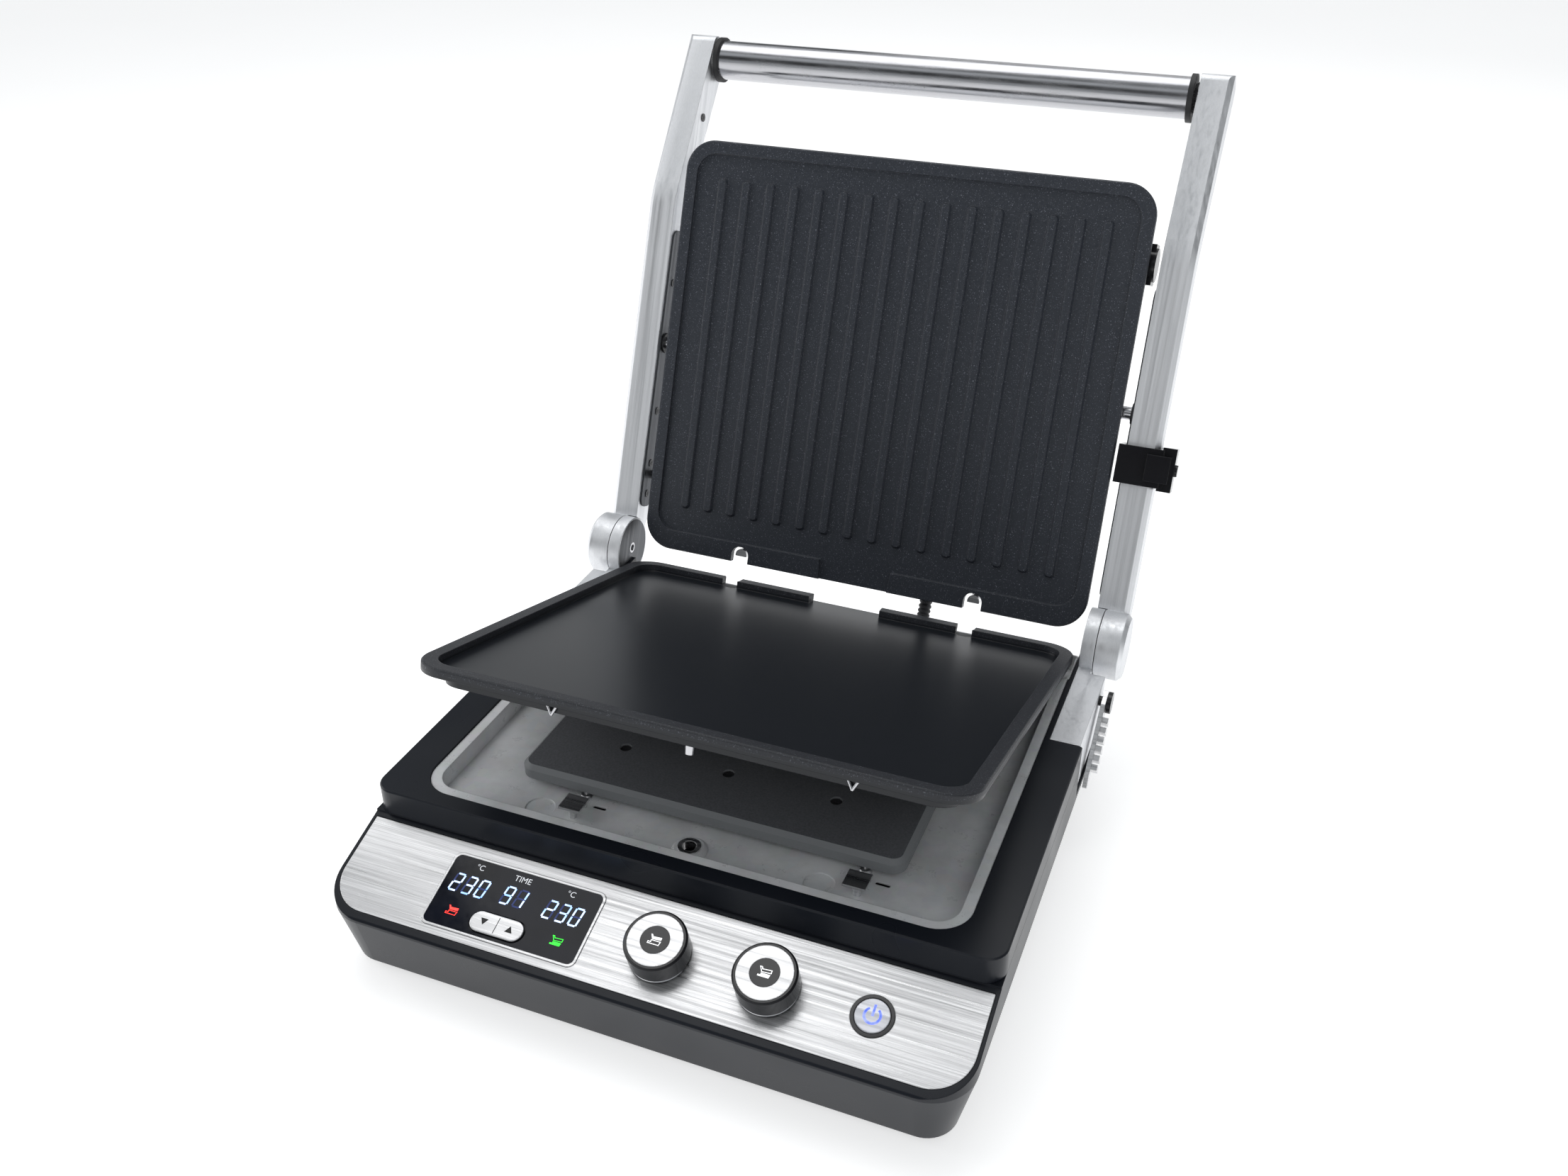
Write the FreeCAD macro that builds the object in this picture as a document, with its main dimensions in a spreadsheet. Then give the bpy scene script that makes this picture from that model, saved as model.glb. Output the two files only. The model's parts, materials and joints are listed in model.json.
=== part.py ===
import FreeCAD, Part
import math
import os
import re
import Sketcher
from FreeCAD import Placement, Rotation, Vector

# Panini press (contact grill).  Construction datum: x = 0 on the symmetry
# plane, y = 0 at the deck's front edge (+y to the rear), z = 0 on the deck top.
# Every node's Placement then shifts it to the part's frame, whose origin is
# the middle of the bounding box at the level the feet stand on.

doc = FreeCAD.newDocument("PaniniPress")
sheet = doc.addObject("Spreadsheet::Sheet", "Dims")

DIMS = [
    # part frame
    ("frame_x", -4.5, "shift of the symmetry plane from the part's origin"),
    ("frame_y", -196.9, "shift of the deck's front edge from the origin"),
    ("deck_top", 77.5, "height of the deck top above the table"),
    # deck and lower housing
    ("deck_half", 173, "half width of deck and housing"),
    ("deck_len", 272, "deck front edge to rear edge"),
    ("deck_thick", 15.5, "height of the deck's front face"),
    ("deck_round", 11, "radius of the deck's front corners"),
    ("house_front", 57, "housing reach ahead of the deck"),
    ("house_round", 24, "radius of the housing's front corners"),
    ("house_wall", 2.8, "housing wall"),
    ("house_waist", 38.5, "level where the housing starts to taper"),
    ("house_draft", 12.9, "taper of the housing's lower part"),
    ("side_draft", 8.2, "how far the taper brings the sides in"),
    ("house_base", 73.5, "housing bottom below the deck top"),
    ("rear_base", 48.4, "underside of the shallow rear half"),
    ("foot_thick", 4, "rubber foot height"),
    ("foot_rad", 11, "rubber foot radius"),
    ("front_foot_x", 140, "front foot from the middle"),
    ("front_foot_y", 20, "front foot ahead of the deck edge"),
    ("rear_foot_x", 125, "rear foot from the middle"),
    ("rear_foot_y", 256, "rear foot behind the deck edge"),
    # pan
    ("pan_half", 145, "inner half width of the pan"),
    ("pan_front", 16, "inner front wall of the pan"),
    ("pan_rim", 6, "width of the pan's flat rim"),
    ("pan_drop", 1, "pan rim below the deck top"),
    ("pan_depth", 12, "pan floor below the deck top"),
    ("sheet_thick", 1, "pan sheet"),
    ("well_front", 238, "front of the deep rear well"),
    ("well_half", 150.9, "inner half width of the well"),
    ("well_depth", 18, "well floor below the deck top"),
    ("well_rear", 273.2, "inner rear wall of the well"),
    # cooking plates
    ("plate_half", 150.1, "half width of a cooking plate"),
    ("plate_len", 267.5, "front to back size of a cooking plate"),
    ("plate_round", 19, "corner radius of a cooking plate"),
    ("rim_thick", 5, "thickness of the plate's outer flange"),
    ("tier_step", 11, "set-in of the deep middle of the plate"),
    ("plate_thick", 12.6, "full plate thickness"),
    ("tub_depth", 4.5, "depth of the cooking surface below the rim"),
    ("rim_wide", 8, "width of the plate's flat rim"),
    ("rib_count", 16, "raised ribs on the upper plate"),
    ("rib_wide", 7, "rib width"),
    ("rib_high", 2.2, "rib height above the recessed field"),
    ("rib_start", 29, "rib start from the hinge-side edge"),
    ("rib_margin", 22.5, "rib end from the handle-side edge"),
    ("rib_span", 123.8, "outermost rib's centre from the middle"),
    ("notch_x", 79.7, "hook notch from the middle"),
    ("notch_half", 6, "half width of a hook notch"),
    ("notch_deep", 11, "depth of a hook notch"),
    ("hook_rad", 3.9, "radius of the hook's rounded tongue"),
    ("hook_in", 5.1, "centre of the tongue from the plate's edge"),
    ("drain_half", 22.5, "half width of the drain channel"),
    ("drain_deep", 14.5, "length of the drain channel"),
    # lower plate seat and its raised pose
    ("heater_top", 0.5, "top of the lower heater plate"),
    ("heater_half", 110, "half width of a heater plate"),
    ("heater_len", 181, "front to back size of a heater plate"),
    ("heater_front", 46, "lower heater plate's front edge"),
    ("heater_thick", 8, "heater plate thickness"),
    ("heater_chamfer", 2.5, "heater plate edge chamfer"),
    ("rock_y", 224.5, "line the lower plate rocks on"),
    ("rock_z", 0.6, "height of the rocking line"),
    ("plate_rear", 271, "rear edge of the seated lower plate"),
    ("seat_gap", 0.3, "gap between heater and plate"),
    ("lift_angle", 16.7, "raised angle of the lower plate"),
    # hinge
    ("hinge_y", 271.4, "lid hinge axis behind the deck edge"),
    ("hinge_z", 7.3, "lid hinge axis above the deck top"),
    ("disc_rad", 20.6, "hinge disc radius"),
    ("post_in", 154.5, "inner face of the hinge post"),
    ("post_out", 171.7, "outer face of the hinge post"),
    ("seam", 162.5, "outer face of the post's disc"),
    ("pin_rad", 7, "hinge pin radius"),
    ("run_gap", 0.05, "running clearance on a radius"),
    ("lid_angle", 110.85, "opening angle of the lid as stored"),
    # lid arms
    ("arm_pitch", 1.45, "arm pitch against the plate"),
    ("arm_in", 157, "inner face of an arm"),
    ("arm_wide", 19, "width of an arm"),
    ("arm_low", 5.6, "front edge of the arm from the hinge axis"),
    ("arm_thick", 20.4, "arm thickness"),
    ("cover_inset", 2.6, "arm cover inside the arm's edges"),
    ("arm_bend_s", 232, "bend distance from the hinge axis"),
    ("arm_bend", 16.7, "bend of the arm's upper part"),
    ("arm_sweep", 60, "radius of the arm's bend"),
    ("grip_run", 99.3, "handle axis from the bend"),
    ("grip_end", 13, "arm past the handle axis"),
    ("grip_rad", 12.2, "handle tube radius"),
    ("grip_half", 151.5, "half length of the handle tube"),
    ("ring_thick", 3.2, "rubber ring thickness"),
    ("disc_out", 16, "thickness of the arm's hinge disc"),
    # lid head
    ("face_w", 7.75, "upper plate face above the hinge axis"),
    ("face_u", 2.6, "upper plate rear edge ahead of the hinge"),
    ("head_half", 142, "half width of the upper housing"),
    ("head_back", 18, "upper housing's hinge-side edge"),
    ("head_front", 262, "upper housing's handle-side edge"),
    ("head_top", 58, "upper housing's top above the hinge axis"),
    ("pivot_s", 138.4, "float pivot along the arm"),
    ("pivot_rad", 4, "float pivot pin radius"),
    # lock slider
    ("clip_s", 109, "middle of the lock slider along the arm"),
    ("clip_long", 23, "lock slider length"),
    ("clip_out", 188, "outer face of the lock slider"),
    # control panel (drawn flat, s measured down the slope)
    ("panel_y", -2, "top edge of the panel"),
    ("panel_z", -17.9, "height of the panel's top edge"),
    ("panel_slope", 18.4, "slope of the panel"),
    ("panel_half", 171, "half width of the brushed panel"),
    ("panel_len", 53, "length of the panel down the slope"),
    ("panel_round", 21.5, "radius of the panel's lower corners"),
    ("panel_sheet", 1, "panel sheet thickness"),
    ("window_x", -72, "display window middle"),
    ("window_s", 27.5, "display window middle down the slope"),
    ("window_wide", 86, "display window width"),
    ("window_high", 39.6, "display window height"),
    ("knob_ax", 10.5, "upper plate's knob"),
    ("knob_bx", 67.6, "lower plate's knob"),
    ("knob_s", 27.6, "knobs down the slope"),
    ("knob_rad", 16, "knob radius"),
    ("knob_high", 13, "knob height"),
    ("shaft_rad", 3, "knob shaft radius"),
    ("power_x", 119.8, "power button"),
    ("power_s", 27.4, "power button down the slope"),
    ("power_rad", 8.6, "power button radius"),
    ("rocker_x", -75, "timer rocker middle"),
    ("rocker_s", 39.5, "timer rocker down the slope"),
    # release lever
    ("lever_y", 232, "lever pivot behind the deck edge"),
    ("lever_z", -7, "lever pivot below the deck top"),
    ("lever_ribs", 6, "finger ribs on the lever"),
    ("rib_step", 5.6, "spacing of the lever's ribs"),
    # catches for the lower plate
    ("catch_ax", -70, "left catch"),
    ("catch_bx", 90, "right catch"),
    ("catch_y", 34.5, "catches behind the deck edge"),
    ("peg_y", 29.6, "locating eyelet behind the deck edge"),
    # cable conduit
    ("hose_x", 45.5, "conduit from the symmetry plane"),
    ("hose_rad", 4.2, "conduit radius"),
    ("hose_drop", 24, "conduit outlet below the deck top"),
    ("hose_back", 9, "conduit behind the back of the upper plate"),
]
NAMES = sorted((alias for alias, size, note in DIMS), key=len, reverse=True)
for row, (alias, size, note) in enumerate(DIMS, start=1):
    sheet.set(f"A{row}", note)
    sheet.set(f"B{row}", str(size))
    sheet.setAlias(f"B{row}", alias)
doc.recompute()
ALIAS = re.compile(r"\b(" + "|".join(NAMES) + r")\b")
NODES = []


def ex(text):
    """Expression text with every dimension name pointed at the sheet."""
    return ALIAS.sub(r"Dims.\1", str(text))


def val(text):
    """Present value of an expression."""
    got = sheet.evalExpression(ex(text))
    return float(getattr(got, "Value", got))


def bind(obj, path, text):
    obj.setExpression(path, ex(text))


# Placement frames: (y, z, signed angle about +X), each relative to the datum
FRAMES = {
    "base": ("0", "0", "0"),
    "panel": ("panel_y", "panel_z", "panel_slope"),
    "lid": ("hinge_y", "hinge_z", "-lid_angle"),
    "arm": ("hinge_y", "hinge_z", "-(lid_angle + arm_pitch)"),
    "plate": ("rock_y", "rock_z", "-lift_angle"),
}


def place(obj, frame):
    """Put a node, drawn in a local frame, where that frame sits at rest."""
    y, z, angle = FRAMES[frame]
    turn = val(angle)
    axis = Vector(1 if turn >= 0 else -1, 0, 0)
    obj.Placement = Placement(Vector(0, 0, 0), Rotation(axis, abs(turn)))
    bind(obj, "Placement.Base.x", "frame_x")
    bind(obj, "Placement.Base.y", f"frame_y + {y}")
    bind(obj, "Placement.Base.z", f"deck_top + {z}")
    if turn:
        sign = "" if turn > 0 else "-1 * "
        bind(obj, "Placement.Rotation.Angle", f"{sign}({angle})")
    NODES.append(obj)
    return obj


# ---- sketch-based pieces ------------------------------------------------------

def new_body(label):
    body = doc.addObject("PartDesign::Body", label)
    body.Label = label
    return body


def sketch(body, plane, lift="0"):
    sk = body.newObject("Sketcher::SketchObject", body.Name + "_sketch")
    support = [f for f in body.Origin.OriginFeatures if f.Role == plane][0]
    sk.AttachmentSupport = [(support, "")]
    sk.MapMode = "FlatFace"
    bind(sk, "AttachmentOffset.Base.z", lift)
    sk.Visibility = False
    return sk


def pin_value(sk, kind, geo, pos, text):
    """Fix one coordinate of a sketch point to an expression."""
    index = sk.addConstraint(Sketcher.Constraint(kind, -1, 1, geo, pos, val(text)))
    bind(sk, f"Constraints[{index}]", text)


def pin_radius(sk, geo, text):
    index = sk.addConstraint(Sketcher.Constraint("Radius", geo, val(text)))
    bind(sk, f"Constraints[{index}]", text)


def outline(sk, points):
    """Closed polygon; every corner is bound to expressions."""
    count = len(points)
    first = sk.GeometryCount
    spots = [Vector(val(a), val(b), 0) for a, b in points]
    for i in range(count):
        sk.addGeometry(Part.LineSegment(spots[i], spots[(i + 1) % count]), False)
    for i in range(count):
        joint = Sketcher.Constraint("Coincident", first + i, 2, first + (i + 1) % count, 1)
        sk.addConstraint(joint)
    for i, (a, b) in enumerate(points):
        pin_value(sk, "DistanceX", first + i, 1, a)
        pin_value(sk, "DistanceY", first + i, 1, b)


def circle(sk, cx, cy, radius):
    geo = sk.GeometryCount
    middle = Vector(val(cx), val(cy), 0)
    sk.addGeometry(Part.Circle(middle, Vector(0, 0, 1), val(radius)), False)
    pin_value(sk, "DistanceX", geo, 3, cx)
    pin_value(sk, "DistanceY", geo, 3, cy)
    pin_radius(sk, geo, radius)


def rounded(sk, x0, x1, y0, y1, r_low, r_high=None):
    """Rectangle with rounded corners; r_low at y0, r_high at y1."""
    if r_high is None:
        r_high = r_low
    corners = [
        (f"({x1}) - ({r_low})", f"({y0}) + ({r_low})", r_low, 270),
        (f"({x1}) - ({r_high})", f"({y1}) - ({r_high})", r_high, 0),
        (f"({x0}) + ({r_high})", f"({y1}) - ({r_high})", r_high, 90),
        (f"({x0}) + ({r_low})", f"({y0}) + ({r_low})", r_low, 180),
    ]
    rad = 3.141592653589793 / 180
    first = sk.GeometryCount
    arcs = []
    for cx, cy, radius, start in corners:
        ring = Part.Circle(Vector(val(cx), val(cy), 0), Vector(0, 0, 1), val(radius))
        arc = Part.ArcOfCircle(ring, start * rad, (start + 90) * rad)
        arcs.append(arc)
        sk.addGeometry(arc, False)
    for i in range(4):
        line = Part.LineSegment(arcs[i].EndPoint, arcs[(i + 1) % 4].StartPoint)
        sk.addGeometry(line, False)
    for i in range(4):
        arc, line, following = first + i, first + 4 + i, first + (i + 1) % 4
        sk.addConstraint(Sketcher.Constraint("Tangent", arc, 2, line, 1))
        sk.addConstraint(Sketcher.Constraint("Tangent", line, 2, following, 1))
    for i, (cx, cy, radius, start) in enumerate(corners):
        pin_value(sk, "DistanceX", first + i, 3, cx)
        pin_value(sk, "DistanceY", first + i, 3, cy)
        pin_radius(sk, first + i, radius)


def pad(body, sk, length, reverse=False, middle=False):
    feature = body.newObject("PartDesign::Pad", body.Name + "_pad")
    feature.Profile = sk
    bind(feature, "Length", length)
    feature.Reversed = reverse
    feature.Midplane = middle
    return feature


def pocket(body, sk, length, reverse=False, middle=False):
    """Cut against the sketch's normal, or along it when reversed."""
    feature = body.newObject("PartDesign::Pocket", body.Name + "_pocket")
    feature.Profile = sk
    bind(feature, "Length", length)
    feature.Reversed = reverse
    feature.Midplane = middle
    return feature


def dress(body, kind, size, wanted):
    """Fillet or chamfer the edges of the body's tip that pass a test."""
    doc.recompute()
    tip = body.Tip
    names = [f"Edge{i + 1}" for i, edge in enumerate(tip.Shape.Edges) if wanted(edge)]
    feature = body.newObject("PartDesign::" + kind, body.Name + "_" + kind.lower())
    feature.Base = (tip, names)
    bind(feature, "Radius" if kind == "Fillet" else "Size", size)
    return feature


def flat_at(edge, axis, level):
    """True when the whole edge lies at one level along an axis."""
    box = edge.BoundBox
    low = getattr(box, axis + "Min")
    high = getattr(box, axis + "Max")
    return abs(low - level) < 0.01 and abs(high - level) < 0.01


def mirror_pair(maker):
    """Build a right-hand and a left-hand version of a piece."""
    maker("right", 1)
    maker("left", -1)


# ---- groups of separate solids -----------------------------------------------

TURN = {
    "z": Rotation(),
    "x": Rotation(Vector(0, 1, 0), 90),
    "y": Rotation(Vector(1, 0, 0), -90),
}


def at(obj, x, y, z, axis="z"):
    obj.Placement = Placement(Vector(0, 0, 0), TURN[axis])
    bind(obj, "Placement.Base.x", x)
    bind(obj, "Placement.Base.y", y)
    bind(obj, "Placement.Base.z", z)
    obj.Visibility = False
    return obj


def rod(x, y, z, radius, length, axis="z"):
    obj = doc.addObject("Part::Cylinder", "rod")
    bind(obj, "Radius", radius)
    bind(obj, "Height", length)
    return at(obj, x, y, z, axis)


def taper(x, y, z, r_near, r_far, length, axis="z"):
    obj = doc.addObject("Part::Cone", "taper")
    bind(obj, "Radius1", r_near)
    bind(obj, "Radius2", r_far)
    bind(obj, "Height", length)
    return at(obj, x, y, z, axis)


def block(x0, x1, y0, y1, z0, z1):
    obj = doc.addObject("Part::Box", "block")
    bind(obj, "Length", f"({x1}) - ({x0})")
    bind(obj, "Width", f"({y1}) - ({y0})")
    bind(obj, "Height", f"({z1}) - ({z0})")
    return at(obj, x0, y0, z0)


def cut(base, tool):
    obj = doc.addObject("Part::Cut", "cut")
    obj.Base = base
    obj.Tool = tool
    obj.Visibility = False
    return obj


def fuse(*pieces):
    obj = doc.addObject("Part::MultiFuse", "fuse")
    obj.Shapes = list(pieces)
    obj.Visibility = False
    return obj


def group(label, pieces, frame):
    """One node holding several separate solids."""
    obj = doc.addObject("Part::Compound", label)
    obj.Label = label
    obj.Links = list(pieces)
    return place(obj, frame)


def single(label, piece, frame):
    """One node whose shape is a boolean result, carried by a compound."""
    return group(label, [piece], frame)


# ==== base: housing, deck, pan ==================================================

housing = new_body("base_housing")
sk = sketch(housing, "XY_Plane", "-house_waist")
rounded(sk, "-deck_half", "deck_half", "-house_front", "deck_len + 2.5", "house_round", "1.5")
pad(housing, sk, "house_waist - deck_thick - 0.2")
sk = sketch(housing, "XY_Plane", "-house_waist")
rounded(sk, "-deck_half", "deck_half", "-house_front", "deck_len + 2.5", "house_round", "9")
skirt = pad(housing, sk, "house_base - house_waist", reverse=True)
bind(skirt, "TaperAngle", "-house_draft")
dress(housing, "Fillet", "2.5", lambda e: flat_at(e, "Z", -val("house_base")))
sk = sketch(housing, "YZ_Plane")
slope = "tan(panel_slope)"
outline(sk, [
    ("-house_front - 9", "-deck_thick + 3"),
    ("1", "-deck_thick + 3"),
    ("1", f"panel_z + (1 - panel_y) * {slope}"),
    ("-house_front + 0.9", f"panel_z + (0.9 - house_front - panel_y) * {slope}"),
    ("-house_front - 0.4", f"panel_z + (0.9 - house_front - panel_y) * {slope} - 1.6"),
    ("-house_front - 9", f"panel_z + (0.9 - house_front - panel_y) * {slope} - 1.6"),
])
outline(sk, [
    ("39.5", "-house_base - 4"),
    ("39.5", "-house_base"),
    ("45", "-house_base + 1.6"),
    ("47.6", "-house_base + 6"),
    ("49.4", "-rear_base - 3.2"),
    ("55", "-rear_base"),
    ("deck_len + 9", "-rear_base + 16"),
    ("deck_len + 9", "-house_base - 4"),
])
pocket(housing, sk, "2 * deck_half + 20", middle=True)
sk = sketch(housing, "YZ_Plane")
outline(sk, [
    ("-18", "panel_z - 12.5"),
    ("3.8", "panel_z - 4"),
    ("3.8", "-deck_thick + 2"),
    ("246", "-deck_thick + 2"),
    ("246", "-rear_base + 17"),
    ("58", "-rear_base + 3.4"),
    ("52.4", "-rear_base - 1.5"),
    ("50.4", "-house_base + 7"),
    ("46", "-house_base + 2.8"),
    ("-18", "-house_base + 2.8"),
])
pocket(housing, sk, "2 * (deck_half - house_wall - side_draft)", middle=True)
sk = sketch(housing, "YZ_Plane")
outline(sk, [
    ("-house_front + 7.5", "-41.2"),
    ("-17.5", "panel_z - 12.4"),
    ("-17.5", "-house_base + 2.8"),
    ("-house_front + 14", "-house_base + 2.8"),
])
pocket(housing, sk, "2 * (deck_half - house_wall - side_draft - 8)", middle=True)
sk = sketch(housing, "XY_Plane", "-deck_thick + 1")
rounded(sk, "-(well_half + 1.4)", "well_half + 1.4", "240", "deck_len - 0.3", "3")
pocket(housing, sk, "rear_base - 18 - deck_thick")
sk = sketch(housing, "XY_Plane", "-deck_thick + 1")
rounded(sk, "-(well_half + 1.4)", "well_half + 1.4", "240", "deck_len + 9", "3")
pocket(housing, sk, "well_depth + sheet_thick + 0.3 - deck_thick + 1")
for side in (1, -1):
    sk = sketch(housing, "XY_Plane", "5")
    far = f"{side} * (deck_half + 9)"
    near = f"{side} * (post_in - 0.5)"
    outline(sk, [(near, "174.4"), (far, "174.4"), (far, "250"), (near, "250")])
    pocket(housing, sk, "5 + 34.5")
    sk = sketch(housing, "XY_Plane", "5")
    outline(sk, [(near, "249"), (far, "249"), (far, "deck_len + 9"), (near, "deck_len + 9")])
    pocket(housing, sk, "90")
    sk = sketch(housing, "XY_Plane", "-house_base")
    circle(sk, f"{side} * rear_foot_x", "rear_foot_y", "foot_rad + 4")
    pad(housing, sk, "house_base - rear_base + 17")
doc.recompute()
# recess for the panel and bores for the controls, cut square to the slope
for what in ("recess", "bores", "button"):
    sk = sketch(housing, "XY_Plane")
    sk.AttachmentOffset = Placement(Vector(0, 0, 0), Rotation(Vector(1, 0, 0), val("panel_slope")))
    bind(sk, "AttachmentOffset.Base.y", "panel_y")
    bind(sk, "AttachmentOffset.Base.z", "panel_z")
    bind(sk, "AttachmentOffset.Rotation.Angle", "panel_slope")
    if what == "recess":
        rounded(sk, "-panel_half - 0.3", "panel_half + 0.3", "-panel_len - 0.3", "0.4",
                "panel_round + 0.3", "1")
        pocket(housing, sk, "panel_sheet + 0.1")
    elif what == "bores":
        circle(sk, "knob_ax", "-knob_s", "shaft_rad + run_gap")
        circle(sk, "knob_bx", "-knob_s", "shaft_rad + run_gap")
        pocket(housing, sk, "9")
    else:
        circle(sk, "power_x", "-power_s", "power_rad + 0.4")
        pocket(housing, sk, "4.6")
place(housing, "base")

deck = new_body("deck")
sk = sketch(deck, "XY_Plane", "-deck_thick")
rounded(sk, "-deck_half", "deck_half", "0", "deck_len", "deck_round", "1")
pad(deck, sk, "deck_thick")
dress(deck, "Chamfer", "0.7", lambda e: flat_at(e, "Z", 0) and e.BoundBox.YMin < val("deck_len") - 2)
sk = sketch(deck, "XY_Plane", "1")
rounded(sk, "-pan_half - pan_rim - 0.3", "pan_half + pan_rim + 0.3",
        "pan_front - pan_rim - 0.3", "deck_len - 20", "19", "1")
pocket(deck, sk, "1 + pan_drop + sheet_thick + 0.3")
sk = sketch(deck, "XY_Plane", "1")
rounded(sk, "-pan_half - 2", "pan_half + 2", "pan_front - 2", "deck_len - 20", "15", "1")
pocket(deck, sk, "deck_thick + 4")
sk = sketch(deck, "XY_Plane", "1")
rounded(sk, "-well_half - 1.5", "well_half + 1.5", "well_front - 2", "deck_len + 9", "2")
pocket(deck, sk, "deck_thick + 4")
for side in (1, -1):
    sk = sketch(deck, "XY_Plane", "1")
    far = f"{side} * (deck_half + 9)"
    near = f"{side} * (post_in - 0.2)"
    outline(sk, [(near, "174.6"), (far, "174.6"), (far, "deck_len + 9"), (near, "deck_len + 9")])
    pocket(deck, sk, "deck_thick + 4")
place(deck, "base")

pan = new_body("lower_pan")
sk = sketch(pan, "XY_Plane", "-pan_drop - sheet_thick")
rounded(sk, "-pan_half - pan_rim", "pan_half + pan_rim", "pan_front - pan_rim", "well_front",
        "18.7", "1")
pad(pan, sk, "sheet_thick")
sk = sketch(pan, "XY_Plane", "-pan_depth - sheet_thick")
rounded(sk, "-pan_half - sheet_thick", "pan_half + sheet_thick", "pan_front - sheet_thick",
        "well_front", "13.7", "1")
pad(pan, sk, "pan_depth - pan_drop")
sk = sketch(pan, "XY_Plane", "-well_depth - sheet_thick")
rounded(sk, "-well_half - sheet_thick", "well_half + sheet_thick", "well_front - sheet_thick",
        "well_rear + 0.8", "3")
pad(pan, sk, "well_depth + sheet_thick - pan_drop")
sk = sketch(pan, "XY_Plane", "0")
rounded(sk, "-pan_half", "pan_half", "pan_front", "well_front + 2", "12.7", "1")
pocket(pan, sk, "pan_depth")
sk = sketch(pan, "XY_Plane", "0")
rounded(sk, "-well_half", "well_half", "well_front", "well_rear", "2")
pocket(pan, sk, "well_depth")
sk = sketch(pan, "XY_Plane", "5")
outline(sk, [("-well_half - 4", "262"), ("well_half + 4", "262"),
             ("well_half + 4", "deck_len + 9"), ("-well_half - 4", "deck_len + 9")])
pocket(pan, sk, "5 + 7")
# raised eyelet seat, then its hole, the catch slots and the pressed pockets
sk = sketch(pan, "XY_Plane", "-pan_depth - sheet_thick / 2")
circle(sk, "0", "peg_y", "9.5")
pad(pan, sk, "2.5")
dress(pan, "Chamfer", "1.6", lambda e: flat_at(e, "Z", val("2 - pan_depth")) and len(e.Vertexes) == 1)
sk = sketch(pan, "XY_Plane", "0")
circle(sk, "0", "peg_y", "4.6")
for spot in ("catch_ax", "catch_bx"):
    rounded(sk, f"{spot} + 7", f"{spot} + 15", "catch_y + 6.6", "catch_y + 8.8", "0.9")
pocket(pan, sk, "pan_depth + 3")
sk = sketch(pan, "XY_Plane", "-pan_depth + 1")
for spot in ("catch_ax", "catch_bx"):
    circle(sk, f"{spot} - 19", "catch_y - 3.5", "8")
pocket(pan, sk, "1 + 0.5")
place(pan, "base")

eyelet = new_body("locating_eyelet")
sk = sketch(eyelet, "XY_Plane", "-pan_depth - 2")
circle(sk, "0", "peg_y", "4.5")
circle(sk, "0", "peg_y", "3.8")
pad(eyelet, sk, "4")
sk = sketch(eyelet, "XY_Plane", "-pan_depth + 2")
circle(sk, "0", "peg_y", "6.2")
circle(sk, "0", "peg_y", "3.8")
pad(eyelet, sk, "0.9")
place(eyelet, "base")


def heater(label, frame, y0, z0, up):
    """Cast heater plate with countersunk screw dimples on its working face."""
    body = new_body(label)
    sk = sketch(body, "XY_Plane", z0)
    rounded(sk, "-heater_half", "heater_half", y0, f"({y0}) + heater_len", "8")
    pad(body, sk, "heater_thick")
    work = val(z0) + (val("heater_thick") if up else 0)
    dress(body, "Chamfer", "heater_chamfer", lambda e: flat_at(e, "Z", work))
    level = f"({z0}) + heater_thick" if up else z0
    sk = sketch(body, "XY_Plane", level)
    for column in (-1, 0, 1):
        for shift in ("34.5", "heater_len - 34.5"):
            circle(sk, f"{column} * 62", f"({y0}) + {shift}", "3.4")
    pocket(body, sk, "2", reverse=not up)
    place(body, frame)


heater("lower_heater_plate", "base", "heater_front", "heater_top - heater_thick", True)

standoffs = []
for column in (-1, 1):
    for shift in ("12", "heater_len - 12"):
        standoffs.append(rod(f"{column} * 92", f"heater_front + {shift}", "-pan_depth", "5",
                             "pan_depth + heater_top - heater_thick"))
group("lower_heater_standoffs", standoffs, "base")

screws = []
for column in (-1, 0, 1):
    for shift in ("34.5", "heater_len - 34.5"):
        head = rod(f"{column} * 62", f"heater_front + {shift}", "heater_top - 2", "3", "1")
        slot = block(f"{column} * 62 - 2.2", f"{column} * 62 + 2.2",
                     f"heater_front + {shift} - 0.4", f"heater_front + {shift} + 0.4",
                     "heater_top - 1.4", "heater_top")
        screws.append(cut(head, slot))
group("lower_heater_screws", screws, "base")


def element(label, frame, y0, z):
    """Tubular heating element: a rectangular loop of round bar."""
    bars = []
    for column in (-1, 1):
        bars.append(rod(f"{column} * 78", f"({y0}) + 22", z, "1.6", "heater_len - 44", "y"))
    bars.append(rod("-78", f"({y0}) + 22", z, "1.6", "156", "x"))
    for column in (-1, 1):
        ball = doc.addObject("Part::Sphere", "elbow")
        bind(ball, "Radius", "1.6")
        bars.append(at(ball, f"{column} * 78", f"({y0}) + 22", z))
    single(label, fuse(*bars), frame)


element("lower_heating_element", "base", "heater_front", "heater_top - heater_thick - 1.7")

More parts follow.
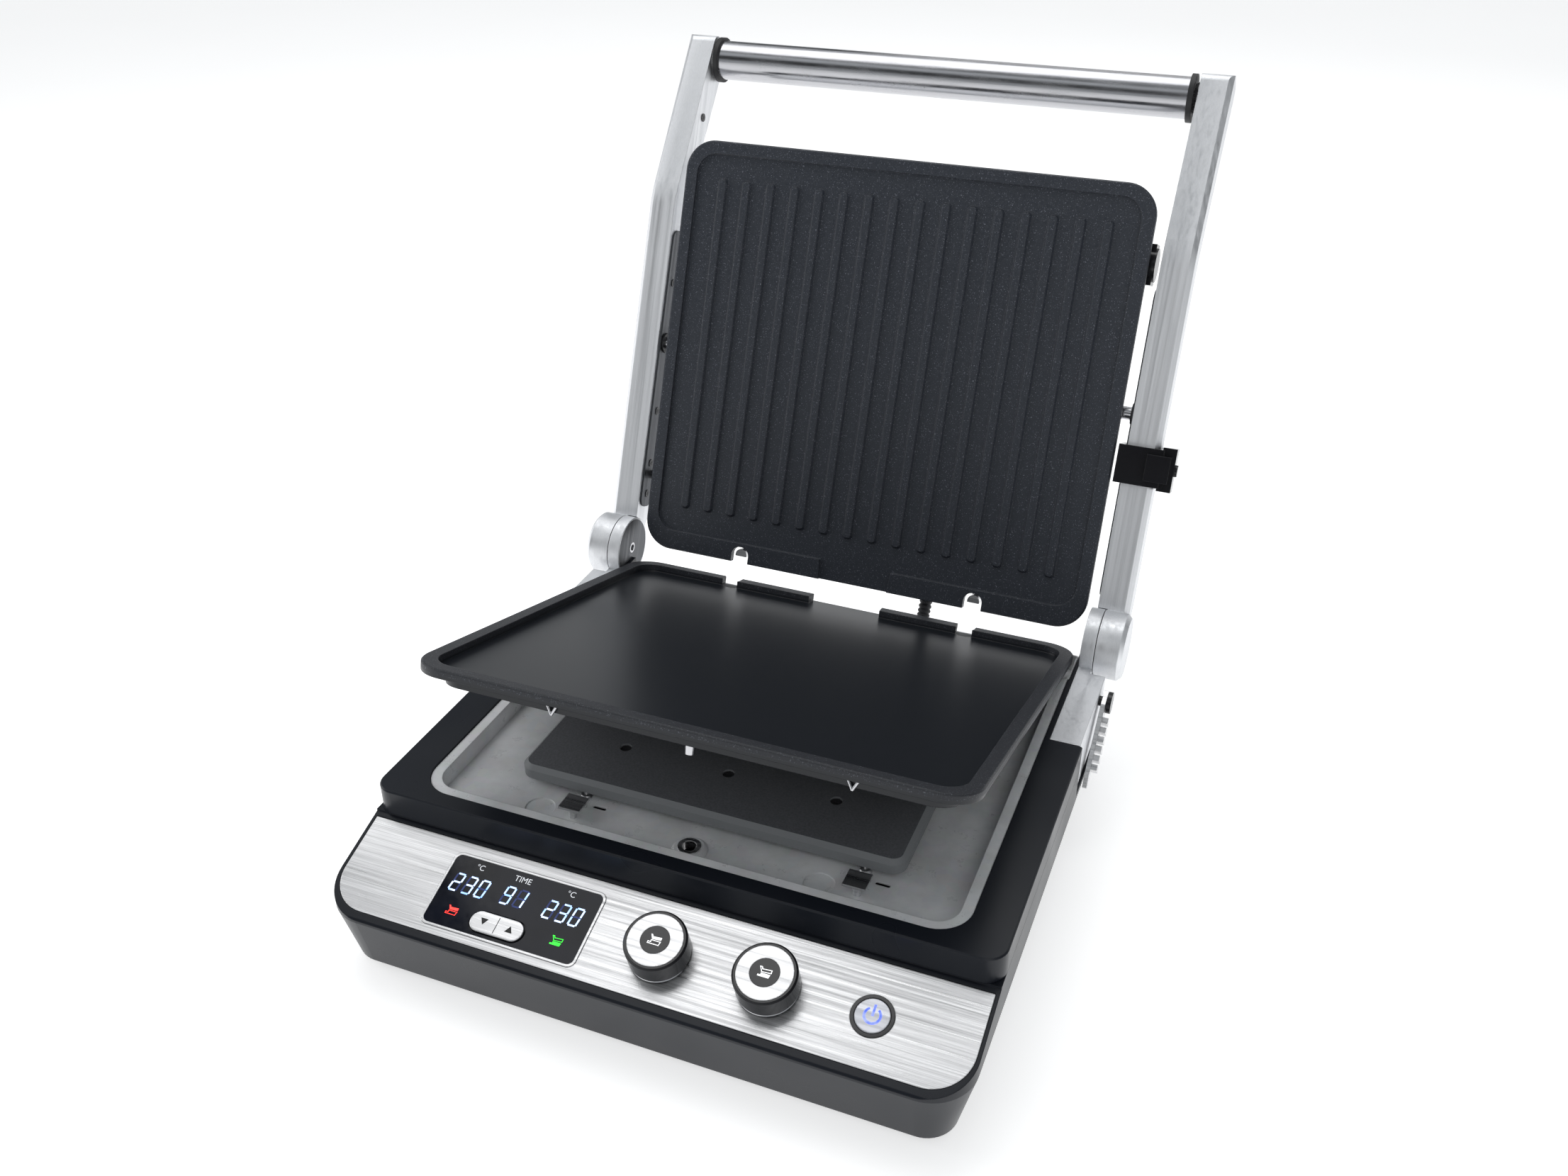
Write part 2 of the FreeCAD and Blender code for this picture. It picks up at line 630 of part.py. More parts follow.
catches = []
rivets = []
for spot in ("catch_ax", "catch_bx"):
    top = block(f"{spot} - 6.2", f"{spot} + 6.2", "catch_y - 6", "catch_y + 6",
                "-pan_depth + 5", "-pan_depth + 6.4")
    leg = block(f"{spot} - 6.2", f"{spot} + 4.4", "catch_y + 4.6", "catch_y + 6",
                "-pan_depth", "-pan_depth + 5")
    toe = rod(f"{spot} + 1", "catch_y - 3.6", "-pan_depth", "2.2", "5")
    catches.append(fuse(top, leg, toe))
    rivet = taper(f"{spot} - 0.5", "catch_y + 14", "-pan_depth", "3.6", "2.6", "1.6")
    rivets.append(cut(rivet, rod(f"{spot} - 0.5", "catch_y + 14", "-pan_depth + 0.6", "1.3", "2")))
group("plate_catches", catches, "base")
group("catch_rivets", rivets, "base")

feet = []
for side in (-1, 1):
    feet.append(taper(f"{side} * front_foot_x", "-front_foot_y", "-house_base - foot_thick",
                      "foot_rad - 1", "foot_rad", "foot_thick"))
    feet.append(taper(f"{side} * rear_foot_x", "rear_foot_y", "-house_base - foot_thick",
                      "foot_rad - 1", "foot_rad", "foot_thick"))
group("feet", feet, "base")

gland_hole = rod("118", "deck_len + 2.5", "-26", "3.6", "9", "y")
gland_collar = rod("118", "deck_len + 2.5", "-26", "7", "2.5", "y")
gland_sleeve = taper("118", "deck_len + 5", "-26", "6", "4.8", "6", "y")
single("cord_gland", cut(fuse(gland_collar, gland_sleeve), gland_hole), "base")


# ==== hinge posts ================================================================

def make_post(name, side):
    body = new_body("hinge_post_" + name)
    left = side < 0
    sk = sketch(body, "YZ_Plane", f"{side} * post_in")
    circle(sk, "hinge_y", "hinge_z", "disc_rad")
    pad(body, sk, "seam - post_in", reverse=left)
    sk = sketch(body, "YZ_Plane", f"{side} * post_in")
    outline(sk, [("hinge_y - 17", "0.2"), ("hinge_y - 17", "-12"), ("hinge_y - 8", "-12"),
                 ("240", "-34"), ("175", "-34"), ("175", "0.2")])
    pad(body, sk, "seam - post_in", reverse=left)
    sk = sketch(body, "YZ_Plane", f"{side} * (seam - 1)")
    outline(sk, [("hinge_y - 24.4", "0.2"), ("hinge_y - 24.4", "-34"), ("175", "-34"), ("175", "0.2")])
    pad(body, sk, "post_out - seam + 1", reverse=left)
    sk = sketch(body, "YZ_Plane", f"{side} * (post_in + 1.6)")
    circle(sk, "hinge_y", "hinge_z", "pin_rad + run_gap")
    pocket(body, sk, "30", reverse=not left)
    sk = sketch(body, "YZ_Plane", f"{side} * (post_in - 1)")
    circle(sk, "hinge_y", "hinge_z", "2.4")
    pocket(body, sk, "4", reverse=not left)
    place(body, "base")


mirror_pair(make_post)

washers = []
for side in (-1, 1):
    near = "seam + 0.05" if side > 0 else "-seam - 0.4"
    ring = rod(near, "hinge_y", "hinge_z", "disc_rad - 1", "0.35", "x")
    bore = rod(f"{near} - 1", "hinge_y", "hinge_z", "pin_rad + 0.4", "3", "x")
    washers.append(cut(ring, bore))
group("hinge_washers", washers, "base")

lever = new_body("release_lever")
sk = sketch(lever, "YZ_Plane", "deck_half + 0.7")
outline(sk, [("lever_y + 3", "lever_z + 6"), ("lever_y - 7", "lever_z + 3"),
             ("lever_y - 39", "lever_z - 25"), ("lever_y - 42", "lever_z - 33"),
             ("lever_y - 34", "lever_z - 32.5"), ("lever_y + 3", "lever_z - 5")])
pad(lever, sk, "2.6")
sk = sketch(lever, "YZ_Plane", "deck_half + 3.2")
for i in range(int(val("lever_ribs"))):
    down = f"({i + 1} * rib_step)"
    outline(sk, [(f"lever_y - 7.6 - {down} * 0.76", f"lever_z + 1.2 - {down} * 0.67"),
                 (f"lever_y - 10.2 - {down} * 0.76", f"lever_z - 1.1 - {down} * 0.67"),
                 (f"lever_y - 4.6 - {down} * 0.76", f"lever_z - 7.3 - {down} * 0.67"),
                 (f"lever_y - 2.0 - {down} * 0.76", f"lever_z - 5.0 - {down} * 0.67")])
pad(lever, sk, "3.6")
sk = sketch(lever, "YZ_Plane", "deck_half - 2")
circle(sk, "lever_y", "lever_z", "3 + run_gap")
pocket(lever, sk, "20", reverse=True)
place(lever, "base")

boss = rod("post_out", "lever_y", "lever_z", "3", "deck_half + 4 - post_out", "x")
cap = rod("deck_half + 3.6", "lever_y", "lever_z", "6.5", "2.6", "x")
single("lever_pivot", fuse(boss, cap), "base")


# ==== control panel ==============================================================

panel = new_body("control_panel")
sk = sketch(panel, "XY_Plane", "-panel_sheet")
rounded(sk, "-panel_half", "panel_half", "-panel_len", "0", "panel_round", "0.6")
rounded(sk, "window_x - window_wide / 2 - 1.5", "window_x + window_wide / 2 + 1.5",
        "-window_s - window_high / 2 - 1.5", "-window_s + window_high / 2 + 1.5", "4.5")
circle(sk, "knob_ax", "-knob_s", "shaft_rad + 0.3")
circle(sk, "knob_bx", "-knob_s", "shaft_rad + 0.3")
circle(sk, "power_x", "-power_s", "power_rad + 2.1")
pad(panel, sk, "panel_sheet")
place(panel, "panel")

window = new_body("display_window")
sk = sketch(window, "XY_Plane", "-panel_sheet")
rounded(sk, "window_x - window_wide / 2", "window_x + window_wide / 2",
        "-window_s - window_high / 2", "-window_s + window_high / 2", "3.4")
rounded(sk, "rocker_x - 15.8", "rocker_x + 15.8", "-rocker_s - 6.3", "-rocker_s + 6.3", "6.2")
pad(window, sk, "panel_sheet + 0.2")
place(window, "panel")

bezel = new_body("display_bezel")
sk = sketch(bezel, "XY_Plane", "-panel_sheet")
rounded(sk, "window_x - window_wide / 2 - 1.4", "window_x + window_wide / 2 + 1.4",
        "-window_s - window_high / 2 - 1.4", "-window_s + window_high / 2 + 1.4", "4.4")
rounded(sk, "window_x - window_wide / 2 - 0.1", "window_x + window_wide / 2 + 0.1",
        "-window_s - window_high / 2 - 0.1", "-window_s + window_high / 2 + 0.1", "3.4")
pad(bezel, sk, "panel_sheet + 0.4")
place(bezel, "panel")

rocker = new_body("timer_rocker")
sk = sketch(rocker, "XY_Plane", "0")
rounded(sk, "rocker_x - 15", "rocker_x + 15", "-rocker_s - 5.6", "-rocker_s + 5.6", "5.5")
pad(rocker, sk, "1.3")
dress(rocker, "Fillet", "0.5", lambda e: flat_at(e, "Z", 1.3))
place(rocker, "panel")


def make_knob(name, x):
    skirt = new_body("knob_" + name)
    sk = sketch(skirt, "XY_Plane", "1.5")
    circle(sk, x, "-knob_s", "knob_rad")
    pad(skirt, sk, "knob_high - 1.5")
    dress(skirt, "Chamfer", "0.9", lambda e: flat_at(e, "Z", val("knob_high")))
    sk = sketch(skirt, "XY_Plane", "knob_high")
    circle(sk, x, "-knob_s", "knob_rad - 2")
    pocket(skirt, sk, "0.5")
    sk = sketch(skirt, "XY_Plane", "1.8")
    circle(sk, x, "-knob_s", "shaft_rad")
    pad(skirt, sk, "9", reverse=True)
    place(skirt, "panel")
    cap = new_body("knob_" + name + "_cap")
    sk = sketch(cap, "XY_Plane", "knob_high - 0.5")
    circle(sk, x, "-knob_s", "knob_rad - 2.05")
    pad(cap, sk, "0.6")
    sk = sketch(cap, "XY_Plane", "knob_high + 0.1")
    circle(sk, x, "-knob_s", "7.4")
    pocket(cap, sk, "0.3")
    place(cap, "panel")
    badge = new_body("knob_" + name + "_badge")
    sk = sketch(badge, "XY_Plane", "knob_high - 0.2")
    circle(sk, x, "-knob_s", "7.35")
    pad(badge, sk, "0.25")
    place(badge, "panel")


make_knob("upper_heat", "knob_ax")
make_knob("lower_heat", "knob_bx")

rings = []
for spot in ("knob_ax", "knob_bx"):
    outer = taper(spot, "-knob_s", "0", "knob_rad - 0.2", "knob_rad - 1.4", "1.3")
    rings.append(cut(outer, rod(spot, "-knob_s", "-1", "shaft_rad + 1", "4")))
group("knob_base_rings", rings, "panel")

collar = new_body("power_collar")
sk = sketch(collar, "XY_Plane", "-panel_sheet")
circle(sk, "power_x", "-power_s", "power_rad + 2")
circle(sk, "power_x", "-power_s", "power_rad + 0.25")
pad(collar, sk, "panel_sheet + 0.4")
place(collar, "panel")

button = new_body("power_button")
sk = sketch(button, "XY_Plane", "-3")
circle(sk, "power_x", "-power_s", "power_rad")
pad(button, sk, "3.7")
dress(button, "Fillet", "0.4", lambda e: flat_at(e, "Z", 0.7))
place(button, "panel")


# ==== lid arms and handle (local y = -distance from the hinge axis) ================

def make_arm(name, side):
    left = side < 0
    body = new_body("arm_" + name)
    sk = sketch(body, "YZ_Plane", f"{side} * arm_in")
    mid = "(arm_low + arm_thick / 2)"
    end_y = "(-arm_bend_s - (grip_run + grip_end) * cos(arm_bend))"
    end_z = f"({mid} + (grip_run + grip_end) * sin(arm_bend))"
    outline(sk, [
        ("-2", "arm_low"),
        ("-arm_bend_s - 1.5", "arm_low"),
        (f"{end_y} - 11 * sin(arm_bend)", f"{end_z} - 11 * cos(arm_bend)"),
        (f"{end_y} + 11 * sin(arm_bend)", f"{end_z} + 11 * cos(arm_bend)"),
        ("-arm_bend_s + 1.5", "arm_low + arm_thick"),
        ("-24", "arm_low + arm_thick"),
        ("-8", "disc_rad - 1.8"),
    ])
    pad(body, sk, "arm_wide", reverse=left)
    bend = -val("arm_bend_s")
    dress(body, "Fillet", "arm_sweep", lambda e: e.BoundBox.XLength > 15
          and abs(e.CenterOfMass.y - bend) < 3)
    dress(body, "Fillet", "12", lambda e: e.BoundBox.XLength > 15 and abs(e.CenterOfMass.y + 24) < 1)
    tip_y = val(end_y)
    outer = side * val("arm_in + arm_wide")

    def long_outer_front(edge):
        box = edge.BoundBox
        if not flat_at(edge, "X", outer) or edge.Length < 60:
            return False
        middle = edge.CenterOfMass
        if middle.y > bend:
            return middle.z < val("arm_low") + 1
        centre = val(mid) + (bend - middle.y) * val("tan(arm_bend)")
        return middle.z < centre

    dress(body, "Chamfer", "3", long_outer_front)
    dress(body, "Fillet", "6", lambda e: e.BoundBox.XLength > 15 and e.CenterOfMass.y < tip_y + 6)
    sk = sketch(body, "YZ_Plane", f"{side} * (seam + 0.5)")
    circle(sk, "0", "0", "disc_rad")
    pad(body, sk, "disc_out", reverse=left)
    face = side * val("seam + 0.5 + disc_out")
    dress(body, "Chamfer", "2.4", lambda e: flat_at(e, "X", face) and e.Length > 60)
    sk = sketch(body, "YZ_Plane", f"{side} * (seam + 0.5)")
    circle(sk, "0", "0", "disc_rad + 0.6")
    pocket(body, sk, "12", reverse=left)
    sk = sketch(body, "YZ_Plane", f"{side} * seam")
    circle(sk, "0", "0", "pin_rad + 0.01")
    pocket(body, sk, "11", reverse=not left)
    sk = sketch(body, "YZ_Plane", f"{side} * (arm_in - 1)")
    circle(sk, "-pivot_s", mid, "pivot_rad + run_gap")
    pocket(body, sk, "7", reverse=not left)
    place(body, "arm")


mirror_pair(make_arm)


def make_cover(name, side):
    body = new_body("arm_cover_" + name)
    sk = sketch(body, "YZ_Plane", f"{side} * arm_in")
    rounded(sk, "-212", "-27", "arm_low + cover_inset", "arm_low + arm_thick - cover_inset",
            "arm_thick / 2 - cover_inset - 1.6")
    circle(sk, "-pivot_s", "arm_low + arm_thick / 2", "arm_thick / 2 - cover_inset - 1")
    pad(body, sk, "1", reverse=side > 0)
    place(body, "arm")


mirror_pair(make_cover)

heads = []
for side in (-1, 1):
    for s in ("36", "57", "92.5", "178"):
        near = "arm_in - 1.4" if side > 0 else "-arm_in + 1"
        head = rod(near, f"-{s}", "arm_low + arm_thick / 2", "2.6", "0.4", "x")
        heads.append(head)
    near = "arm_in - 0.6" if side > 0 else "-arm_in"
    heads.append(rod(near, "-arm_bend_s - 58 * cos(arm_bend)",
                     "arm_low + arm_thick / 2 + 58 * sin(arm_bend)", "2.6", "0.6", "x"))
group("cover_screws", heads, "arm")

collars = []
pins = []
bosses = []
rubber = []
for side in (-1, 1):
    near = "arm_in - 2" if side > 0 else "-arm_in"
    ring = rod(near, "-pivot_s", "arm_low + arm_thick / 2", "arm_thick / 2 - cover_inset - 1.2",
               "2", "x")
    bore = rod(f"{near} - 1", "-pivot_s", "arm_low + arm_thick / 2", "pivot_rad + run_gap", "5", "x")
    collars.append(cut(ring, bore))
    near = "post_in + 2" if side > 0 else "-(seam + 11)"
    pins.append(rod(near, "0", "0", "pin_rad", "seam + 9 - post_in", "x"))
    grip_y = "-arm_bend_s - grip_run * cos(arm_bend)"
    grip_z = "arm_low + arm_thick / 2 + grip_run * sin(arm_bend)"
    near = "grip_half" if side > 0 else "-grip_half - ring_thick"
    rubber.append(rod(near, grip_y, grip_z, "grip_rad + 1.9", "ring_thick", "x"))
    if side > 0:
        bosses.append(taper("grip_half + ring_thick", grip_y, grip_z, "8.5", "10",
                            "arm_in - grip_half - ring_thick", "x"))
    else:
        bosses.append(taper("-arm_in", grip_y, grip_z, "10", "8.5",
                            "arm_in - grip_half - ring_thick", "x"))
group("pivot_collars", collars, "arm")
group("hinge_pins", pins, "arm")
group("handle_rings", rubber, "arm")
group("handle_bosses", bosses, "arm")

tube = new_body("handle_tube")
sk = sketch(tube, "YZ_Plane", "-grip_half")
circle(sk, "-arm_bend_s - grip_run * cos(arm_bend)",
       "arm_low + arm_thick / 2 + grip_run * sin(arm_bend)", "grip_rad")
circle(sk, "-arm_bend_s - grip_run * cos(arm_bend)",
       "arm_low + arm_thick / 2 + grip_run * sin(arm_bend)", "grip_rad - 1.5")
pad(tube, sk, "2 * grip_half")
place(tube, "arm")

# lock slider: a sleeve round the right arm with a raised push block
clip_low = "arm_low - 3.4"
clip_high = "arm_low + arm_thick + 3.4"
sleeve = block("arm_in - 4.6", "arm_in + arm_wide + 3", "-clip_s - clip_long / 2",
               "-clip_s + clip_long / 2", clip_low, clip_high)
bore = block("arm_in - 1.8", "arm_in + arm_wide + 0.2", "-clip_s - clip_long / 2 - 1",
             "-clip_s + clip_long / 2 + 1", "arm_low - 0.2", "arm_low + arm_thick + 0.2")
wing = block("arm_in + arm_wide + 2", "clip_out - 1.6", "-clip_s - clip_long / 2 - 1.6",
             "-clip_s + clip_long / 2 + 1.6", "arm_low - 1", "arm_low + 12")
single("lock_slider", fuse(cut(sleeve, bore), wing), "arm")
push = block("arm_in + 13", "clip_out - 4", "-clip_s - 8", "-clip_s + 8",
             f"{clip_low} - 3.6", clip_low)
seat = block("arm_in + arm_wide + 3", "clip_out - 4", "-clip_s - 8", "-clip_s + 8",
             clip_low, "arm_low - 1")
single("lock_push", fuse(push, seat), "arm")
single("lock_nub", rod("clip_out - 1.6", "-clip_s", "arm_low + 5", "3.6", "1.6", "x"), "arm")


# ==== lid head (local y = -distance from the hinge axis, z up when closed) =========

back_w = "(face_w + plate_thick)"
shell = new_body("head_shell")
sk = sketch(shell, "XY_Plane", f"{back_w} + seat_gap")
rounded(sk, "-head_half", "head_half", "-head_front", "-head_back", "14")
pad(shell, sk, f"head_top - {back_w} - seat_gap")
dress(shell, "Fillet", "9", lambda e: flat_at(e, "Z", val("head_top")))
sk = sketch(shell, "XY_Plane", f"{back_w} + seat_gap")
rounded(sk, "-head_half + 3", "head_half - 3", "-head_front + 3", "-head_back - 3", "11")
pocket(shell, sk, f"head_top - {back_w} - seat_gap - 3", reverse=True)
place(shell, "lid")

head_pan = new_body("upper_pan")
sk = sketch(head_pan, "XY_Plane", f"{back_w} + 12")
rounded(sk, "-head_half + 3.3", "head_half - 3.3", "-head_front + 3.3", "-head_back - 3.3", "10.7")
pad(head_pan, sk, "sheet_thick")
sk = sketch(head_pan, "XY_Plane", f"{back_w} + seat_gap")
rounded(sk, "-head_half + 3.3", "head_half - 3.3", "-head_front + 3.3", "-head_back - 3.3", "10.7")
rounded(sk, "-head_half + 4.3", "head_half - 4.3", "-head_front + 4.3", "-head_back - 4.3", "9.7")
pad(head_pan, sk, "12 - seat_gap + 0.5")
place(head_pan, "lid")

heater("upper_heater_plate", "lid", "-face_u - heater_len - 43", f"{back_w} + seat_gap", False)
standoffs = []
for column in (-1, 1):
    for shift in ("12", "heater_len - 12"):
        standoffs.append(rod(f"{column} * 92", f"-face_u - 43 - heater_len + {shift}",
                             f"{back_w} + seat_gap + heater_thick", "5",
                             "12 - seat_gap - heater_thick"))
group("upper_heater_standoffs", standoffs, "lid")
element("upper_heating_element", "lid", "-face_u - heater_len - 43",
        f"{back_w} + seat_gap + heater_thick + 1.7")

pivot_w = "(pivot_s * sin(arm_pitch) + (arm_low + arm_thick / 2) * cos(arm_pitch))"
pivot_u = "(pivot_s * cos(arm_pitch) - (arm_low + arm_thick / 2) * sin(arm_pitch))"
pins = []
for side in (-1, 1):
    near = "head_half" if side > 0 else "-(arm_in + 5)"
    pins.append(rod(near, f"-{pivot_u}", pivot_w, "pivot_rad", "arm_in + 5 - head_half", "x"))
    near = "head_half" if side > 0 else "-head_half - 3"
    pins.append(cut(rod(near, f"-{pivot_u}", f"{back_w} + 6", "9", "3", "x"),
                    rod(f"{near} - 1", f"-{pivot_u}", pivot_w, "pivot_rad", "5", "x")))
ears = [pins[1], pins[3]]
group("pivot_pins", [pins[0], pins[2]], "lid")
group("pivot_ears", ears, "lid")

keeper = block("head_half", "arm_in - 5", "-238", "-214", f"{back_w} + 1", f"{back_w} + 15")
knob = rod("head_half", "-226", f"{back_w} + 8", "10", "arm_in - 4 - head_half", "x")
single("lock_keeper", fuse(keeper, knob), "lid")
single("stop_pin", rod("-arm_in + 1.4", "-48", f"{back_w} + 4", "3", "arm_in - 1.4 - head_half", "x"),
       "lid")

hooks = []
for side in (-1, 1):
    x = f"{side} * notch_x"
    tongue = rod(x, "-face_u - hook_in", "face_w + 2.4", "hook_rad", f"{back_w} + 5 - face_w - 2.4")
    below = block(f"{x} - 9", f"{x} + 9", "-face_u - hook_in + 1", "-face_u + 9", "face_w", f"{back_w} + 9")
    foot = block(f"{x} - hook_rad", f"{x} + hook_rad", "-head_back", "-face_u - hook_in",
                 f"{back_w} + 3.4", f"{back_w} + 5")
    hooks.append(fuse(cut(tongue, below), foot))
group("upper_hooks", hooks, "lid")

flange = cut(block("hose_x - 12", "hose_x + 12", "-head_back", "-head_back + 1.6",
                   f"{back_w} + 1", f"{back_w} + hose_back + 9"),
             rod("hose_x", "-head_back - 1", f"{back_w} + hose_back", "hose_rad + 0.4", "5", "y"))
single("conduit_flange", flange, "lid")


# ==== cooking plates ================================================================

def make_plate(label, frame, edge_y, face_z, down, ribbed):
    """Cast plate drawn face up or face down.

    edge_y is the hinge-side edge, the plate runs to -y; face_z is the rim's
    face; down is +1 when the body lies below its face, -1 when above.
    """
    body = new_body(label)
    flip = down < 0
    y1 = edge_y
    y0 = f"({edge_y}) - plate_len"
    sk = sketch(body, "XY_Plane", face_z)
    rounded(sk, "-plate_half", "plate_half", y0, y1, "plate_round")
    pad(body, sk, "rim_thick", reverse=not flip)
    sk = sketch(body, "XY_Plane", face_z)
    rounded(sk, "-plate_half + tier_step", "plate_half - tier_step",
            f"{y0} + tier_step", f"{y1} - tier_step", "plate_round - 6")
    pad(body, sk, "plate_thick", reverse=not flip)
    if ribbed:
        sk = sketch(body, "XY_Plane", face_z)
        rounded(sk, "-plate_half + rim_wide", "plate_half - rim_wide",
                f"{y0} + rim_wide", f"{y1} - rim_wide - 5", "plate_round - 6")
        pocket(body, sk, "rib_high", reverse=flip)
        sk = sketch(body, "XY_Plane", f"{face_z} + rib_high + 0.2")
        rounded(sk, "-rib_span - rib_wide / 2", "-rib_span + rib_wide / 2",
                f"{y0} + rib_margin", f"{y1} - rib_start", "rib_wide / 2 - 0.6")
        rib = pad(body, sk, "rib_high", reverse=flip)
        rib.TaperAngle = -30
        ribs = body.newObject("PartDesign::LinearPattern", label + "_ribs")
        ribs.Originals = [rib]
        ribs.Direction = (sk, ["H_Axis"])
        bind(ribs, "Length", "2 * rib_span")
        bind(ribs, "Occurrences", "rib_count")
        body.Tip = ribs
    else:
        sk = sketch(body, "XY_Plane", face_z)
        rounded(sk, "-plate_half + rim_wide", "plate_half - rim_wide",
                f"{y0} + rim_wide", f"{y1} - rim_wide", "plate_round - 6")
        pocket(body, sk, "tub_depth", reverse=flip)
    # hook notches through the hinge-side edge, and the drain channel over it
    sk = sketch(body, "XY_Plane", face_z)
    for side in (-1, 1):
        rounded(sk, f"{side} * notch_x - notch_half", f"{side} * notch_x + notch_half",
                f"({y1}) - notch_deep + 0.4", f"({y1}) + 9", "notch_half - 0.5", "1")
    pocket(body, sk, "rim_thick + 1", reverse=flip)
    sk = sketch(body, "XY_Plane", face_z)
    outline(sk, [("-drain_half", f"({y1}) + 9"), ("-drain_half - 2", f"({y1}) - drain_deep"),
                 ("drain_half + 2", f"({y1}) - drain_deep"), ("drain_half", f"({y1}) + 9")])
    pocket(body, sk, "rib_high" if ribbed else "tub_depth", reverse=flip)
    rim = val(face_z)
    dress(body, "Chamfer", "0.8", lambda e: flat_at(e, "Z", rim) and on_border(e, val(y0), val(y1)))
    place(body, frame)


def on_border(edge, y0, y1):
    box = edge.BoundBox
    half = val("plate_half")
    sides = box.XMin > half - 20 and box.XMax > half - 0.1
    sides = sides or (box.XMax < -half + 20 and box.XMin < -half + 0.1)
    front = box.YMin < y0 + 0.1
    return (sides or front) and box.YMax < y1 - 1


make_plate("upper_grill_plate", "lid", "-face_u", "face_w", -1, True)
seat_z = "(heater_top + seat_gap + plate_thick - rock_z)"
seat_y = "(plate_rear - rock_y)"
make_plate("lower_griddle_plate", "plate", seat_y, seat_z, 1, False)

pegs = [taper("0", "peg_y - rock_y", f"{seat_z} - plate_thick - 10.2", "2.6", "3.2", "10.2")]
single("plate_peg", pegs[0], "plate")

clips = []
for spot in ("catch_ax", "catch_bx"):
    wire_y = f"{seat_y} - plate_len + tier_step - 1.3"
    top = f"{seat_z} - rim_thick"
    for lean in (-1, 1):
        wire = doc.addObject("Part::Cylinder", "wire")
        bind(wire, "Radius", "0.8")
        bind(wire, "Height", "9")
        wire.Placement = Placement(Vector(0, 0, 0), Rotation(Vector(0, lean, 0), 152))
        bind(wire, "Placement.Base.x", f"{spot} - {lean} * 4.2")
        bind(wire, "Placement.Base.y", wire_y)
        bind(wire, "Placement.Base.z", f"{top} - 0.5")
        wire.Visibility = False
        clips.append(wire)
clip_pairs = [fuse(clips[0], clips[1]), fuse(clips[2], clips[3])]
group("plate_clips", clip_pairs, "plate")

# ==== cable conduit from the base to the lid head ====================================

doc.recompute()


def conduit():
    """Hose from the housing's rear wall up to the lid head: two straight runs and an arc."""
    x = val("hose_x")
    turn = math.radians(val("lid_angle"))
    along = Vector(0, -math.cos(turn), math.sin(turn))
    across = Vector(0, math.sin(turn), math.cos(turn))
    hinge = Vector(x, val("hinge_y"), val("hinge_z"))
    start = Vector(x, val("deck_len + 2.5"), -val("hose_drop"))
    end = hinge + along * val("head_back") + across * val(f"{back_w} + hose_back")
    knee = end - along * ((end.z - start.z) / along.z)
    bend = math.acos(along.y)
    run = min((knee - start).Length, (end - knee).Length)
    reach = 0.45 * run
    radius = reach / math.tan(bend / 2)
    near = knee - Vector(0, reach, 0)
    far = knee + along * reach
    centre = near + Vector(0, 0, radius)
    chord = knee - centre
    middle = centre + chord * (radius / chord.Length)
    path = Part.Wire([
        Part.makeLine(start, near),
        Part.Arc(near, middle, far).toShape(),
        Part.makeLine(far, end),
    ])
    ring = Part.Wire([Part.makeCircle(val("hose_rad"), start, Vector(0, 1, 0))])
    return path.makePipeShell([ring], True, True)


hose = doc.addObject("Part::Feature", "cable_conduit")
hose.Label = "cable_conduit"
hose.Shape = conduit()
place(hose, "base")

doc.recompute()

# ==== checks and export ===============================================================

problems = []
for obj in doc.Objects:
    bad = [word for word in obj.State if word in ("Invalid", "Error")]
    if bad:
        problems.append(f"{obj.Name} ({obj.Label}): {bad} {obj.getStatusString()}")
for obj in doc.Objects:
    if obj.TypeId == "PartDesign::Pocket" and obj.BaseFeature is not None:
        if obj.Shape.isNull() or obj.Shape.Volume > obj.BaseFeature.Shape.Volume - 0.01:
            problems.append(f"{obj.Name}: pocket removed nothing")
labels = [obj.Label for obj in NODES]
if len(labels) != len(set(labels)):
    problems.append("two nodes share a label")
for obj in NODES:
    if obj.Shape.isNull() or not obj.Shape.isValid() or not obj.Shape.Solids:
        problems.append(f"{obj.Label}: shape is null, invalid or not solid")
if problems:
    raise RuntimeError("; ".join(problems))

os.makedirs("parts", exist_ok=True)
for obj in NODES:
    obj.Shape.exportStep(f"parts/{obj.Label}.step")
whole = FreeCAD.BoundBox()
for obj in NODES:
    whole.add(obj.Shape.BoundBox)
print("nodes", len(NODES), "box", whole)
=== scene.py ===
import json
import math

import bpy
from mathutils import Euler, Matrix, Vector


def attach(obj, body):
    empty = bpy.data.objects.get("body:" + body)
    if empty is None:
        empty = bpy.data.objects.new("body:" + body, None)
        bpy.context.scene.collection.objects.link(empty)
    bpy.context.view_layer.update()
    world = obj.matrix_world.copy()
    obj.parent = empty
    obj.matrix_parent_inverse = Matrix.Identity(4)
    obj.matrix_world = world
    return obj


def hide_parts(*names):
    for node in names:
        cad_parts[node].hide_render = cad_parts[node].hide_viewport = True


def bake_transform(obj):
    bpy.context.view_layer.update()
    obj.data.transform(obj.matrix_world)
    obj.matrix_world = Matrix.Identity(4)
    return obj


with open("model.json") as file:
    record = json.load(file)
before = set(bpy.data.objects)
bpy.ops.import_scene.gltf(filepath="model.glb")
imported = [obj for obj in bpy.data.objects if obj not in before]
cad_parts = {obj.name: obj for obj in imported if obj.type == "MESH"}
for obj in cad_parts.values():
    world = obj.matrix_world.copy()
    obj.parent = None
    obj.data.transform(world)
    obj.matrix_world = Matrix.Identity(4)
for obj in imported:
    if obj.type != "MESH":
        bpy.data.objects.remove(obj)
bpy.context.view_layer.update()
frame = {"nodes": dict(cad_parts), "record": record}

NODES = frame["nodes"]
MM = 0.001

